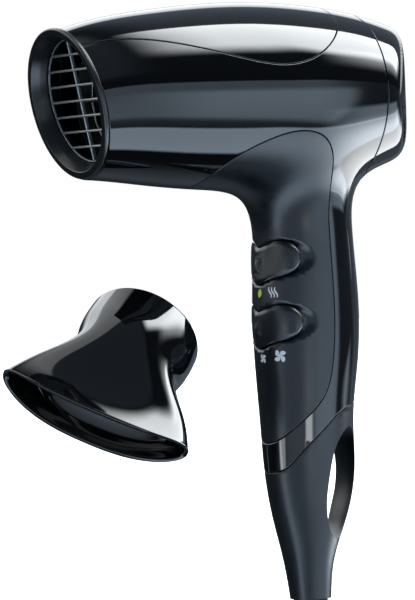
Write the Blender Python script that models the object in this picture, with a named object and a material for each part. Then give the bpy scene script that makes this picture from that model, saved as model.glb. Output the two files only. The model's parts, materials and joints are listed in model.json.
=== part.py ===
"""Compact travel hair dryer with its concentrator nozzle, as separate parts.

Sizes are in millimetres here and become metres when a mesh is made (MM).
+Z is up, the barrel lies along X with its outlet towards -X, and the origin is in the
middle of the hand grip.  The outer skin of barrel and handle is one smooth form, given by
skin_distance(); each casing part is the stretch of that skin inside its own seams.
"""
import bpy
import bmesh
import numpy as np
from math import cos, hypot, pi, radians, sin
from mathutils import Matrix, Vector

MM = 0.001
GAP = 0.3                    # free gap between neighbouring casing parts
WALL = 2.2                   # casing wall
FIT = 0.3                    # clearance round pins, shafts and screws

# Barrel: its axis is at this height; radius along x
BARREL_Z = 99.7
BARREL_X = (-118, -96, -64, -32, 5, 30, 50)
BARREL_R = (29.8, 33.3, 37.4, 39.4, 37.6, 33.3, 27.3)
NOSE_DROOP = 2.0             # the outlet sits this much below the barrel axis
DROOP_START, DROOP_LENGTH = -75.0, 36.0
REAR_X = 47.5                # rear face, at the middle plane
REAR_BULGE = 11.0            # how far the rear face falls back at its sides
RIM_ROUND = 7.0              # rounding of the rear rim

# Handle: height, front x, rear x and half width of each section
HANDLE_Z = (-114, -98, -80, -60, -38, -12, 12, 38, 70, BARREL_Z)
HANDLE_FRONT = (-11.4, -13.7, -17.9, -20.9, -21.9, -23.1, -23.1, -21.4, -20.0, -19.4)
HANDLE_REAR = (5.9, 7.7, 14.6, 19.2, 19.2, 22.5, 23.5, 21.8, 21.2, 22.0)
HANDLE_HALF = (8.2, 10.0, 12.6, 14.6, 16.0, 17.6, 18.2, 18.2, 18.5, 19.0)
SQUARENESS = 2.25            # superellipse exponent of the handle section
BLEND_FRONT, BLEND_REAR = 32.0, 24.0

# Outlet plane, slanted: its top stands further forward than its bottom
OUTLET_X = -111.0
OUTLET_SLANT = 0.21
LIP = 2.0                    # thickness of the outlet ring's flange
RING_MOUTH_R = 28.2          # inner radius at the front of the outlet ring
RING_SEAT_R = 25.6           # inner radius where grille and nozzle collar seat
RING_WALL = 1.0
RING_DEPTH = 10.0
GRILLE_DEPTH = 6.6           # from the outlet plane to the front of the grille
GRILLE_THICK = 2.0
BARS, BAR_PITCH, BAR_WIDTH = 7, 6.3, 1.3

# Seams, in side view (x, z)
TOP_SEAM = ((-125, 118.5), (-98, 122.7), (-72, 120.0), (-48, 114.2), (-28, 111.0),
            (-14, 113.5), (-1, 121.0), (6, 128.2), (8.8, 141))
GRIP_SEAM = ((-61, 56), (-51, 71), (-35, 80.3), (-19, 83.6), (-8, 80.6), (0, 69), (2, 52),
             (2.9, 28), (2.3, -12), (-2, -27), (-12, -37.6), (-27, -52.5))
END_SEAM = ((-30, -60), (-20, -59), (-13.6, -52.3), (-0.7, -39.8), (6, -34.6), (15, -31.8),
            (28, -31))
REAR_SEAM_X = 23.6
INTAKE_R = 25.6              # opening of the rear cap, which the intake grille fills
SLOTS, SLOT_PITCH, SLOT_HIGH = 7, 5.6, 2.8

# Rockers: heat above, speed below
ROCKER_Z = {"heat": 30.3, "speed": 3.3}
ROCKER_PIN_X = -9.0
ROCKER_SWING = radians(7)
ROCKER_WING = radians(83)    # how far each wing reaches round the pin
ROCKER_HALF_H = 7.6
ROCKER_SMILE = 3.4           # the middle of the cap sits this much lower than its wings
ROCKER_CLEAR = 1.2
ROCKER_WALL = 2.8
PIN_R = 1.2
HUB_R = 3.4
KNOB_LEVER = 5.8             # from the pin to the slider's knob
KNOB_HALF = 1.2
FORK_CLEAR = 0.4

# Drive train along the barrel axis
DUCT_R, DUCT_WALL = 30.2, 1.4
DUCT_X = (-22.0, 27.0)
FAN_X = (8.0, 20.0)
FAN_R, FAN_HUB_R, BLADES = 28.0, 11.0, 9
MOTOR_X = (-18.0, 3.0)
MOTOR_R = 13.6
CUP_WALL = 1.2
VANES = 5
SHAFT_R = 1.0
SLEEVE_X = (-92.0, -31.0)
SLEEVE_R, SLEEVE_WALL = 26.2, 0.9
MICA, MICA_HALF = 0.8, 21.8
COIL_WIRE_R, COIL_TURNS, COIL_PITCH = 0.5, 3, 8.0
COIL_STARTS = {"low": -88.0, "high": -60.0}

# Switches behind the rockers
SWITCH_X = (0.0, 10.4)
SWITCH_HALF_Y, SWITCH_HALF_Z = 8.0, 6.5
FRAME_WALL = 1.4
ARM_Z = 9.2                  # each pin arm sits this far above and below its rocker

# Handle end, hang loop, cord inlet
LOOP = ((11, -41.5), (5.6, -45), (2.2, -51.5), (0, -62), (-1.1, -73), (-0.2, -81), (2.4, -87),
        (5.8, -89.2), (9, -87), (12, -80), (15.0, -70), (16.4, -59), (15.8, -50), (14, -44))
STRAP_HALF, LOOP_FLARE = 4.5, 1.15   # beyond this half width the loop's opening flares
CORD_R = 3.0
INLET_R = 5.6
INLET_DEPTH = 8.0
GLAND_HEAD = 3.2
POCKET = ((-14.5, -3.5), 9.5, (-67.0, -36.0))
CORE_BELOW_SEAM = 3.2        # the solid core of the end starts this far below its seam
CLAMP_CORD_X = -11.2         # the cord runs here between pocket wall and clamp bar
CLAMP_Z = -61.0
CLAMP_SCREW_Y = (-6.2, 6.2)
CLAMP_BAR = (-8.0, -5.4)

# Housing screws, along Y: (x, z)
HOUSING_SCREWS = {"upper": (15.0, 47.0), "lower": (16.0, -21.0)}
SCREW_R, SCREW_HEAD_R, BOSS_R = 1.2, 2.4, 3.2
SCREW_SEAT = 7.0             # the screws' heads bear this far from the middle plane

# Concentrator nozzle, lying loose below the outlet
NOZZLE_PLACE = Vector((-69.8, 16.6, 1.4))
NOZZLE_MOUTH_WAY = Vector((-0.696, -0.447, -0.562)).normalized()
NOZZLE_WIDE_WAY = Vector((0.705, -0.572, -0.420))
NOZZLE_LENGTH = 53.5
NOZZLE_BULGE = 8.3           # the middle of its mouth stands this much further out
COLLAR_R, COLLAR_LENGTH = 24.6, 12.0
MOUTH_HALF_W, MOUTH_HALF_T = 41.6, 10.0
MOUTH_POWER = 2.5            # 2 would make the mouth an ellipse; more squares its ends
WAIST = ((0.458, -0.7), (0.708, 8.5))    # (share of the length, half width beyond the collar)
NOZZLE_WALL = 1.8


# ---------------------------------------------------------------- materials
def material(name, colour, roughness=0.5, metallic=0.0):
    made = bpy.data.materials.get(name) or bpy.data.materials.new(name)
    made.use_nodes = True
    shader = made.node_tree.nodes["Principled BSDF"]
    shader.inputs["Base Color"].default_value = (*colour, 1)
    shader.inputs["Roughness"].default_value = roughness
    shader.inputs["Metallic"].default_value = metallic
    made.diffuse_color = (*colour, 1)
    return made


GLOSS = ("gloss_black", (0.012, 0.013, 0.016), 0.08)
MATTE = ("soft_matte_black", (0.030, 0.036, 0.043), 0.45)
CHROME = ("grille_silver", (0.55, 0.56, 0.57), 0.3, 1.0)
STEEL = ("steel", (0.5, 0.5, 0.5), 0.35, 1.0)
MICA_SHEET = ("mica", (0.62, 0.52, 0.36), 0.6)
NICHROME = ("nichrome", (0.32, 0.29, 0.26), 0.4, 1.0)
NYLON = ("nylon_grey", (0.22, 0.23, 0.24), 0.5)
BLACK_NYLON = ("nylon_black", (0.03, 0.03, 0.032), 0.5)
BOARD = ("circuit_board", (0.10, 0.22, 0.10), 0.5)
RUBBER = ("black_rubber", (0.02, 0.02, 0.02), 0.7)
LEAD = ("lead_sleeving", (0.75, 0.75, 0.72), 0.5)


# ---------------------------------------------------------------- the smooth outer form
def smooth_curve(xs, ys):
    """Natural cubic spline through (xs, ys), straight beyond its ends."""
    xs, ys = np.array(xs, float), np.array(ys, float)
    step = np.diff(xs)
    count = len(xs)
    system, right = np.eye(count), np.zeros(count)
    for i in range(1, count - 1):
        system[i, i - 1:i + 2] = step[i - 1], 2 * (step[i - 1] + step[i]), step[i]
        right[i] = 6 * ((ys[i + 1] - ys[i]) / step[i] - (ys[i] - ys[i - 1]) / step[i - 1])
    bend = np.linalg.solve(system, right)

    def value(x):
        x = np.asarray(x, float)
        i = np.clip(np.searchsorted(xs, x) - 1, 0, count - 2)
        near = np.clip(x, xs[0], xs[-1])
        a, b, h = xs[i + 1] - near, near - xs[i], step[i]
        inside = ((bend[i] * a ** 3 + bend[i + 1] * b ** 3) / (6 * h)
                  + (ys[i] / h - bend[i] * h / 6) * a + (ys[i + 1] / h - bend[i + 1] * h / 6) * b)
        first = (ys[1] - ys[0]) / step[0] - step[0] * bend[1] / 6
        last = (ys[-1] - ys[-2]) / step[-1] + step[-1] * bend[-2] / 6
        slope = np.where(x > xs[-1], last, np.where(x < xs[0], first, 0.0))
        return inside + slope * (x - near)
    return value


barrel_radius = smooth_curve(BARREL_X, BARREL_R)
handle_front = smooth_curve(HANDLE_Z, HANDLE_FRONT)
handle_rear = smooth_curve(HANDLE_Z, HANDLE_REAR)
handle_half = smooth_curve(HANDLE_Z, HANDLE_HALF)


def axis_height(x):
    return BARREL_Z - NOSE_DROOP * np.maximum((DROOP_START - x) / DROOP_LENGTH, 0) ** 3


def smooth_max(a, b, width):
    overlap = np.maximum(width - np.abs(a - b), 0) / width
    return np.maximum(a, b) + overlap ** 3 * width / 6


def skin_distance(points):
    """Signed distance to the outer skin, near enough: negative inside."""
    x, y, z = points[:, 0], points[:, 1], points[:, 2]
    from_axis = np.hypot(y, z - axis_height(x))
    taper = barrel_radius(x + 0.5) - barrel_radius(x - 0.5)
    barrel = (from_axis - barrel_radius(x)) / np.sqrt(1 + taper ** 2)
    rear = 0.9 * (x - REAR_X + REAR_BULGE * (y / 28) ** 2)
    barrel = smooth_max(barrel, rear, RIM_ROUND)
    front, back, half = handle_front(z), handle_rear(z), handle_half(z)
    across, middle = (back - front) / 2, (back + front) / 2
    share = (np.abs((x - middle) / across) ** SQUARENESS
             + np.abs(y / half) ** SQUARENESS) ** (1 / SQUARENESS)
    handle = (share - 1) * np.sqrt((x - middle) ** 2 + y ** 2 + 1e-9) / np.maximum(share, 1e-6)
    handle = smooth_max(handle, z - BARREL_Z, 10)
    rearward = np.clip((x + 20) / 45, 0, 1)
    rearward = rearward ** 2 * (3 - 2 * rearward)
    blend = BLEND_FRONT * (1 - rearward) + BLEND_REAR * rearward
    return -smooth_max(-barrel, -handle, blend)


def skin_slope(points):
    eye = np.eye(3) * 0.05
    return np.stack([skin_distance(points + e) - skin_distance(points - e) for e in eye], 1) / 0.1


def onto_skin(points):
    """Slides points along the slope until they lie on the skin."""
    points = np.array(points, float)
    for _ in range(8):
        slope = skin_slope(points)
        points -= slope * (skin_distance(points) / (slope ** 2).sum(1))[:, None]
    return points


AROUND = 24                  # points round the barrel
HOLE = (10, 14)              # the handle leaves between these, at the bottom
RING_STATIONS = (-96, -80, -64, -48, -34, -21.5, -9, 3.5, 16, 28, 35, 40)
HOLE_RINGS = (5, 10)
REAR_FACE_R = (32, 29.4, 22.6, 15.5, 8)
SECTION_Z = (50, 44, 38, 30, 20, 10, 0, -10, -20, -30, -40, -50, -60, -70, -80, -89, -98,
             -106, -114)


def barrel_ring(x, slant=0.0):
    turns = [2 * pi * k / AROUND for k in range(AROUND)]
    radius, height = float(barrel_radius(x)), float(axis_height(x))
    return [(x - slant * radius * cos(t), radius * sin(t), height + radius * cos(t))
            for t in turns]


def rear_ring(radius):
    turns = [2 * pi * k / AROUND for k in range(AROUND)]
    return [(REAR_X - REAR_BULGE * (radius * sin(t) / 28) ** 2, radius * sin(t),
             BARREL_Z + radius * cos(t)) for t in turns]


def handle_ring(z, count):
    front, back = float(handle_front(z)), float(handle_rear(z))
    return [((front + back) / 2 - (back - front) / 2 * cos(2 * pi * k / count),
             float(handle_half(z)) * sin(2 * pi * k / count), z) for k in range(count)]


def skin_mesh():
    """The whole skin as quads: open at the outlet and at the handle's end."""
    bm = bmesh.new()
    edge = OUTLET_X + LIP + GAP
    rings = [barrel_ring(edge, OUTLET_SLANT), barrel_ring(-104, OUTLET_SLANT * 0.6)]
    rings += [barrel_ring(x) for x in RING_STATIONS]
    rings += [rear_ring(r) for r in REAR_FACE_R]
    rings = [[bm.verts.new(p) for p in ring] for ring in rings]
    pole = bm.verts.new((REAR_X, 0, BARREL_Z))
    first, last = HOLE_RINGS[0] + 1, HOLE_RINGS[1] + 1
    for i, (a, b) in enumerate(zip(rings, rings[1:])):
        for k in range(AROUND):
            if first <= i < last and HOLE[0] <= k < HOLE[1]:
                continue
            n = (k + 1) % AROUND
            bm.faces.new((a[k], a[n], b[n], b[k]))
    for k in range(AROUND):
        bm.faces.new((rings[-1][k], rings[-1][(k + 1) % AROUND], pole))
    bmesh.ops.delete(bm, geom=[v for v in bm.verts if not v.link_faces], context="VERTS")
    low, high, middle = HOLE[0], HOLE[1], AROUND // 2
    mouth = [rings[first][k] for k in range(middle, low - 1, -1)]
    mouth += [rings[i][low] for i in range(first + 1, last + 1)]
    mouth += [rings[last][k] for k in range(low + 1, high + 1)]
    mouth += [rings[i][high] for i in range(last - 1, first - 1, -1)]
    mouth += [rings[first][k] for k in range(high - 1, middle, -1)]
    count = len(mouth)
    top = handle_ring(SECTION_Z[0], count)
    halfway = [(Vector(p) + v.co) / 2 for p, v in zip(top, mouth)]
    loops = [halfway] + [handle_ring(z, count) for z in SECTION_Z]
    loops = [mouth] + [[bm.verts.new(p) for p in loop] for loop in loops]
    for a, b in zip(loops, loops[1:]):
        for k in range(count):
            n = (k + 1) % count
            bm.faces.new((a[k], a[n], b[n], b[k]))
    return bm


def settle_skin(bm):
    """Puts every point on the form, faces outwards, and flattens the two open ends."""
    verts = list(bm.verts)
    points = onto_skin([v.co for v in verts])
    for v, p in zip(verts, points):
        v.co = p
    bmesh.ops.recalc_face_normals(bm, faces=bm.faces)
    face = max(bm.faces, key=lambda f: f.calc_center_median().z)
    if face.normal.z < 0:
        bmesh.ops.reverse_faces(bm, faces=bm.faces)
    for v in verts:
        if v.is_boundary and v.co.z < 0:
            v.co.z = HANDLE_Z[0]
        elif v.is_boundary:
            v.co.x = outlet_plane_x(v.co.z) + (LIP + GAP)
    return bm


def outlet_plane_x(z):
    return OUTLET_X - OUTLET_SLANT * (z - float(axis_height(OUTLET_X)))


# ---------------------------------------------------------------- seams and trimming
def smooth_path(points, per_span=6, closed=False):
    """A smooth curve through side-view points, as a list of points."""
    points = list(points)
    wrap = points[-3:] + points + points[:3] if closed else points
    along = np.concatenate([[0], np.cumsum([hypot(b[0] - a[0], b[1] - a[1])
                                            for a, b in zip(wrap, wrap[1:])])])
    fx = smooth_curve(along, [p[0] for p in wrap])
    fz = smooth_curve(along, [p[1] for p in wrap])
    spans = range(3, 3 + len(points)) if closed else range(len(wrap) - 1)
    path = [along[i] + (along[i + 1] - along[i]) * k / per_span
            for i in spans for k in range(per_span)]
    if not closed:
        path.append(along[-1])
    return [(float(fx(t)), float(fz(t))) for t in path]


def side_field(seam, closing):
    """Signed distance in side view to a seam: negative on the side of `closing` points."""
    line = np.array(smooth_path(seam))
    outline = np.vstack([line, closing])

    def field(points):
        p = points[:, (0, 2)]
        a, b = line[:-1], line[1:]
        along = b - a
        share = ((p[:, None] - a) * along).sum(2) / (along ** 2).sum(1)
        nearest = a + np.clip(share, 0, 1)[..., None] * along
        distance = np.sqrt(((p[:, None] - nearest) ** 2).sum(2)).min(1)
        c, d = outline, np.roll(outline, -1, 0)
        crosses = (c[:, 1] > p[:, 1, None]) != (d[:, 1] > p[:, 1, None])
        rise = np.where(d[:, 1] == c[:, 1], 1, d[:, 1] - c[:, 1])
        at = c[:, 0] + (p[:, 1, None] - c[:, 1]) / rise * (d[:, 0] - c[:, 0])
        inside = (crosses & (p[:, 0, None] < at)).sum(1) % 2 == 1
        return np.where(inside, -distance, distance)
    return field


in_top = side_field(TOP_SEAM, ((8.8, 200), (-200, 200), (-200, 118)))
in_grip = side_field(GRIP_SEAM, ((-100, -60), (-100, 50)))
in_end = side_field(END_SEAM, ((60, -31), (60, -200), (-60, -200), (-60, -60)))


def in_rear(points):
    return REAR_SEAM_X - points[:, 0]


def from_barrel_axis(points):
    return np.hypot(points[:, 1], points[:, 2] - BARREL_Z)


def trim(bm, field):
    """Cuts the surface along field = 0 and keeps the side where it is negative."""
    verts = list(bm.verts)
    value = dict(zip(verts, field(np.array([v.co for v in verts]))))
    value = {v: 0.0 if abs(g) < 0.02 else g for v, g in value.items()}
    for edge in list(bm.edges):
        a, b = edge.verts
        if value[a] * value[b] < 0:
            share = value[a] / (value[a] - value[b])
            new = bmesh.utils.edge_split(edge, a, share)[1]
            value[new] = 0.0
    for face in list(bm.faces):
        on = [v for v in face.verts if value[v] == 0]
        if len(on) == 2 and not any(set(e.verts) == set(on) for e in face.edges):
            bmesh.utils.face_split(face, on[0], on[1])
    bm.faces.ensure_lookup_table()
    out = [f for f in bm.faces if sum(value[v] for v in f.verts) > 0]
    bmesh.ops.delete(bm, geom=out, context="FACES")
    return bm


def skin_piece(*fields):
    bm = settle_skin(skin_mesh())
    for field in fields:
        trim(bm, field)
    return bm


def thicken(bm, wall, normals=None):
    """Turns an open surface into a closed wall, inwards along the form's own slope."""
    verts, faces = list(bm.verts), list(bm.faces)
    rims = [e.link_loops[0] for e in bm.edges if e.is_boundary]
    points = np.array([v.co for v in verts])
    slope = skin_slope(points) if normals is None else np.array(normals)
    slope /= np.sqrt((slope ** 2).sum(1))[:, None]
    inner = {v: bm.verts.new(p) for v, p in zip(verts, points - wall * slope)}
    for face in faces:
        bm.faces.new([inner[v] for v in reversed(face.verts)])
    for loop in rims:
        a, b = loop.vert, loop.link_loop_next.vert
        bm.faces.new((b, a, inner[a], inner[b]))
    return bm


def inside(field, gap=GAP / 2):
    return lambda p: field(p) + gap


def outside(field, gap=GAP / 2):
    return lambda p: gap - field(p)


# ---------------------------------------------------------------- making objects
def put(name, bm, look, place=None, smooth=True, scale=MM):
    """Turns a bmesh in millimetres into a named object; `place` is its origin."""
    origin = Vector(place or (0, 0, 0))
    bmesh.ops.translate(bm, verts=bm.verts, vec=-origin)
    bmesh.ops.scale(bm, verts=bm.verts, vec=(scale, scale, scale))
    mesh = bpy.data.meshes.new(name)
    bm.to_mesh(mesh)
    bm.free()
    made = bpy.data.objects.new(name, mesh)
    made.location = origin * MM
    bpy.context.scene.collection.objects.link(made)
    if look:
        mesh.materials.append(material(*look))
    if smooth:
        mesh.shade_smooth()
        mesh.set_sharp_from_angle(angle=radians(35))
    return made


def settle_modifiers(made):
    """Replaces an object's mesh by the mesh its modifiers give."""
    graph = bpy.context.evaluated_depsgraph_get()
    mesh = bpy.data.meshes.new_from_object(made.evaluated_get(graph))
    made.modifiers.clear()
    made.data = mesh
    return made


def combine(made, other, operation):
    """Boolean of two objects; `other` is used up."""
    step = made.modifiers.new(operation.lower(), "BOOLEAN")
    step.operation, step.object, step.solver = operation, other, "EXACT"
    settle_modifiers(made)
    bpy.data.objects.remove(other)
    return made


def cut(made, *others):
    """Takes other objects out of one; they stand clear of each other."""
    tool = bmesh.new()
    for other in others:
        other.data.transform(other.matrix_basis)
        tool.from_mesh(other.data)
        bpy.data.objects.remove(other)
    return combine(made, put("cutter", tool, None, scale=1), "DIFFERENCE")


def join(made, *others):
    for other in others:
        combine(made, other, "UNION")
    return made


def box(name, xs, ys, zs, look=None):
    bm = bmesh.new()
    bmesh.ops.create_cube(bm, size=1)
    size = Vector((xs[1] - xs[0], ys[1] - ys[0], zs[1] - zs[0]))
    centre = Vector((xs[0] + xs[1], ys[0] + ys[1], zs[0] + zs[1])) / 2
    bmesh.ops.scale(bm, verts=bm.verts, vec=size)
    bmesh.ops.translate(bm, verts=bm.verts, vec=centre)
    return put(name, bm, look, smooth=False)


def turned(name, profile, base, way, look=None, steps=24, place=None):
    """Spins a closed (radius, along) profile round the line from `base` towards `way`."""
    bm = bmesh.new()
    verts = [bm.verts.new((r, 0, a)) for r, a in profile]
    ring = [bm.edges.new((verts[i], verts[(i + 1) % len(verts)])) for i in range(len(verts))]
    bmesh.ops.spin(bm, geom=verts + ring, cent=(0, 0, 0), axis=(0, 0, 1), angle=2 * pi,
                   steps=steps, use_merge=True)
    bmesh.ops.remove_doubles(bm, verts=bm.verts, dist=1e-4)
    bmesh.ops.recalc_face_normals(bm, faces=bm.faces)
    turn = Vector((0, 0, 1)).rotation_difference(Vector(way)).to_matrix().to_4x4()
    bmesh.ops.transform(bm, matrix=Matrix.Translation(base) @ turn, verts=bm.verts)
    return put(name, bm, look, place)


def tube(name, inner, outer, length, base, way, look=None, steps=24, place=None):
    profile = ((inner, 0), (outer, 0), (outer, length), (inner, length))
    return turned(name, profile, base, way, look, steps, place)


def rod(name, radius, length, base, way, look=None, steps=16, place=None):
    bm = bmesh.new()
    bmesh.ops.create_cone(bm, cap_ends=True, segments=steps, radius1=radius, radius2=radius,
                          depth=length)
    bmesh.ops.translate(bm, verts=bm.verts, vec=(0, 0, length / 2))
    turn = Vector((0, 0, 1)).rotation_difference(Vector(way)).to_matrix().to_4x4()
    bmesh.ops.transform(bm, matrix=Matrix.Translation(base) @ turn, verts=bm.verts)
    return put(name, bm, look, place)


def prism(name, outline, ys, look=None):
    """A side-view outline (x, z) drawn out along Y."""
    bm = bmesh.new()
    face = bm.faces.new([bm.verts.new((x, ys[0], z)) for x, z in outline])
    drawn = bmesh.ops.extrude_face_region(bm, geom=[face])
    moved = [g for g in drawn["geom"] if isinstance(g, bmesh.types.BMVert)]
    bmesh.ops.translate(bm, verts=moved, vec=(0, ys[1] - ys[0], 0))
    bmesh.ops.recalc_face_normals(bm, faces=bm.faces)
    return put(name, bm, look)


def grid_solid(name, rows, look, place=None):
    """Closed solid from rows of points that all run round it, with flat ends."""
    bm = bmesh.new()
    rows = [[bm.verts.new(p) for p in row] for row in rows]
    for a, b in zip(rows, rows[1:]):
        for k in range(len(a)):
            n = (k + 1) % len(a)
            bm.faces.new((a[k], a[n], b[n], b[k]))
    bm.faces.new(rows[0])
    bm.faces.new(rows[-1])
    bmesh.ops.recalc_face_normals(bm, faces=bm.faces)
    return put(name, bm, look, place)


def wire(name, points, radius, look, sides=2):
    """A wire along points, with filled ends."""
    curve = bpy.data.curves.new(name, "CURVE")
    curve.dimensions = "3D"
    curve.bevel_depth = radius * MM
    curve.bevel_resolution = sides
    curve.use_fill_caps = True
    spline = curve.splines.new("POLY")
    spline.points.add(len(points) - 1)
    for point, p in zip(spline.points, points):
        point.co = (*(Vector(p) * MM), 1)
    curve.materials.append(material(*look))
    made = bpy.data.objects.new(name, curve)
    bpy.context.scene.collection.objects.link(made)
    return made


# ---------------------------------------------------------------- casing
def fields_outside(*fields):
    return [outside(f) for f in fields]


def side_of(sign):
    return lambda p: GAP / 2 - sign * p[:, 1]


def housing_half(name, sign):
    """Glossy main housing, split along the middle plane."""
    bm = skin_piece(*fields_outside(in_top, in_grip, in_end, in_rear), side_of(sign))
    return put(name, thicken(bm, WALL), GLOSS)


def wall_y(x, z):
    """Half width of the skin at a place in side view."""
    near, far = 0.0, 60.0
    for _ in range(40):
        middle = (near + far) / 2
        if skin_distance(np.array([[x, middle, z]]))[0] < 0:
            near = middle
        else:
            far = middle
    return near


def screw_post(sign, x, z):
    """A boss from the middle plane out into the wall on one side."""
    reach = min(wall_y(x + u, z) for u in (-BOSS_R, BOSS_R)) - WALL * 0.6
    return rod("post", BOSS_R, reach - GAP / 2, (x, sign * GAP / 2, z), (0, sign, 0))


def make_housing():
    left = housing_half("housing_left", 1)
    right = housing_half("housing_right", -1)
    for x, z in HOUSING_SCREWS.values():
        join(right, screw_post(-1, x, z))
        cut(right, rod("bore", SCREW_R + FIT, 5, (x, 0, z), (0, -1, 0)))
        join(left, screw_post(1, x, z))
        cut(left, rod("bore", SCREW_R + FIT, 30, (x, -1, z), (0, 1, 0)))
        cut(left, rod("sink", SCREW_HEAD_R + FIT, 30, (x, SCREW_SEAT, z), (0, 1, 0)))


def make_housing_screws():
    for which, (x, z) in HOUSING_SCREWS.items():
        head, length = 2.0, SCREW_SEAT + 4.0
        start = SCREW_SEAT + FIT
        profile = ((0, -length), (SCREW_R, -length), (SCREW_R, 0), (SCREW_HEAD_R, 0),
                   (SCREW_HEAD_R, head), (0, head))
        turned(f"housing_screw_{which}", profile, (x, start, z), (0, 1, 0), STEEL, 12)


def make_covers():
    put("barrel_top_cover", thicken(skin_piece(inside(in_top)), WALL), GLOSS)
    grip = put("handle_cover", thicken(skin_piece(inside(in_grip)), WALL), MATTE)
    for z in ROCKER_Z.values():
        cut(grip, rocker_window(z))
    reach = INTAKE_R
    cap = skin_piece(inside(in_rear, GAP), lambda p: np.where(p[:, 0] > 30, 1, 0)
                     * (reach - from_barrel_axis(p)) + np.where(p[:, 0] > 30, 0, -1))
    put("rear_cap", thicken(cap, WALL), GLOSS)
    grille = skin_piece(lambda p: 30 - p[:, 0], lambda p: from_barrel_axis(p) - reach + GAP)
    grille = put("rear_grille", thicken(grille, 1.6), MATTE)
    slots = []
    for k in range(SLOTS):
        z = (k - (SLOTS - 1) / 2) * SLOT_PITCH
        half = ((INTAKE_R - 3.4) ** 2 - z ** 2) ** 0.5
        zs = (BARREL_Z + z - SLOT_HIGH / 2, BARREL_Z + z + SLOT_HIGH / 2)
        slots += [box("slot", (30, 60), ys, zs) for ys in ((-half, -1), (1, half))]
    cut(grille, *slots)


def make_handle_end():
    """Lower end: a wall like the rest of the casing round a solid core, with the hang loop."""
    end = put("handle_end", thicken(skin_piece(inside(in_end)), WALL), MATTE)
    bm = skin_piece(lambda p: p[:, 2] + 22)
    verts = list(bm.verts)
    slope = skin_slope(np.array([v.co for v in verts]))
    for v, way in zip(verts, slope):
        v.co -= Vector(way) * WALL / 2
        v.co.z = max(v.co.z, HANDLE_Z[0] + 1)
    bmesh.ops.edgeloop_fill(bm, edges=[e for e in bm.edges if e.is_boundary])
    bmesh.ops.recalc_face_normals(bm, faces=bm.faces)
    core = put("core", bm, None)
    seam = smooth_path(END_SEAM)
    below = [(x, z - CORE_BELOW_SEAM) for x, z in seam] + [(60, -200), (-60, -200)]
    combine(core, prism("below", below, (-40, 40)), "INTERSECT")
    join(end, core)
    loop = smooth_path(LOOP, 3, closed=True)
    front = min(x for x, _ in loop)
    rows = [[(front + (x - front) * flare, y, z) for x, z in loop]
            for y, flare in ((-20, LOOP_FLARE), (-STRAP_HALF, 1), (STRAP_HALF, 1), (20, LOOP_FLARE))]
    cut(end, grid_solid("loop", rows, None))
    xs, half, zs = POCKET
    cut(end, box("pocket", xs, (-half, half), zs))
    inlet = inlet_centre()
    start = Vector((CLAMP_CORD_X, 0, zs[0] + 4))
    way = inlet - start
    cut(end, rod("cord_bore", CORD_R + 1, way.length + 2, start, way, steps=16))
    cut(end, rod("inlet", INLET_R, INLET_DEPTH + 5, inlet - Vector((0, 0, 5)), (0, 0, 1), steps=20))
    cut(end, *[rod("bore", SCREW_R + FIT, 4, (xs[0] + 0.5, y, CLAMP_Z), (-1, 0, 0), steps=8)
               for y in CLAMP_SCREW_Y])


def inlet_centre():
    z = HANDLE_Z[0]
    return Vector(((float(handle_front(z)) + float(handle_rear(z))) / 2, 0, z))


def make_cord_inlet():
    """Rubber gland at the very end and the bar that clamps the cord inside."""
    inner, plug = CORD_R + 0.2, INLET_R - FIT
    profile = ((inner, INLET_DEPTH - FIT), (inner, -GLAND_HEAD), (plug + 0.8, -GLAND_HEAD),
               (plug + 2.0, -GLAND_HEAD + 1), (plug + 2.0, -GAP), (plug, -GAP),
               (plug, INLET_DEPTH - FIT))
    turned("cord_gland", profile, inlet_centre(), (0, 0, 1), RUBBER, 24)
    bar = box("cord_clamp", CLAMP_BAR, (-9.0, 9.0), (CLAMP_Z - 3, CLAMP_Z + 3), BLACK_NYLON)
    for y in CLAMP_SCREW_Y:
        cut(bar, rod("bore", SCREW_R + FIT, 6, (CLAMP_BAR[0] - 1, y, CLAMP_Z), (1, 0, 0), steps=12))
    depth = CLAMP_BAR[1] + GAP
    for side, y in zip(("right", "left"), CLAMP_SCREW_Y):
        length = depth - POCKET[0][0] + 2.6
        profile = ((0, -length), (SCREW_R, -length), (SCREW_R, 0), (2.2, 0), (2.2, 1.5), (0, 1.5))
        turned(f"clamp_screw_{side}", profile, (depth, y, CLAMP_Z), (1, 0, 0), STEEL, 12)


# ---------------------------------------------------------------- rockers and switches
def rocker_lift(y):
    """Height of the cap's middle line above the rocker's own height."""
    return 1.0 - ROCKER_SMILE * np.exp(-(y / 7.0) ** 2)


def skin_reach(angle, z):
    """Distance from a rocker's pin axis out to the skin, at `angle` from straight ahead."""
    way = np.array([-cos(angle), sin(angle), 0])
    near, far = 2.0, 40.0
    for _ in range(40):
        middle = (near + far) / 2
        spot = np.array([[ROCKER_PIN_X, 0, z]]) + way * middle
        if skin_distance(spot)[0] < 0:
            near = middle
        else:
            far = middle
    return near


def rocker_rows(z, wing, half_height, outer, inner, steps=20):
    """Closed cross-sections of a patch wrapped round the pin, from one wing to the other."""
    rows = []
    for k in range(steps + 1):
        share = -1 + 2 * k / steps
        share = np.sign(share) * (1 - (1 - abs(share)) ** 1.5)
        angle = share * wing
        reach = skin_reach(angle, z)
        y = reach * sin(angle)
        middle = z + rocker_lift(y)
        half = max(half_height * (1 - abs(share) ** 5) ** 0.5, 0.9)
        ring = []
        for up in (-1, -0.5, 0, 0.5, 1):
            height = middle + up * half
            ring.append((skin_reach(angle, height) + outer(share, up), height))
        for up in (1, 0, -1):
            height = middle + up * half
            ring.append((skin_reach(angle, height) - inner, height))
        rows.append([(ROCKER_PIN_X - r * cos(angle), r * sin(angle), h) for r, h in ring])
    return rows


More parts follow.
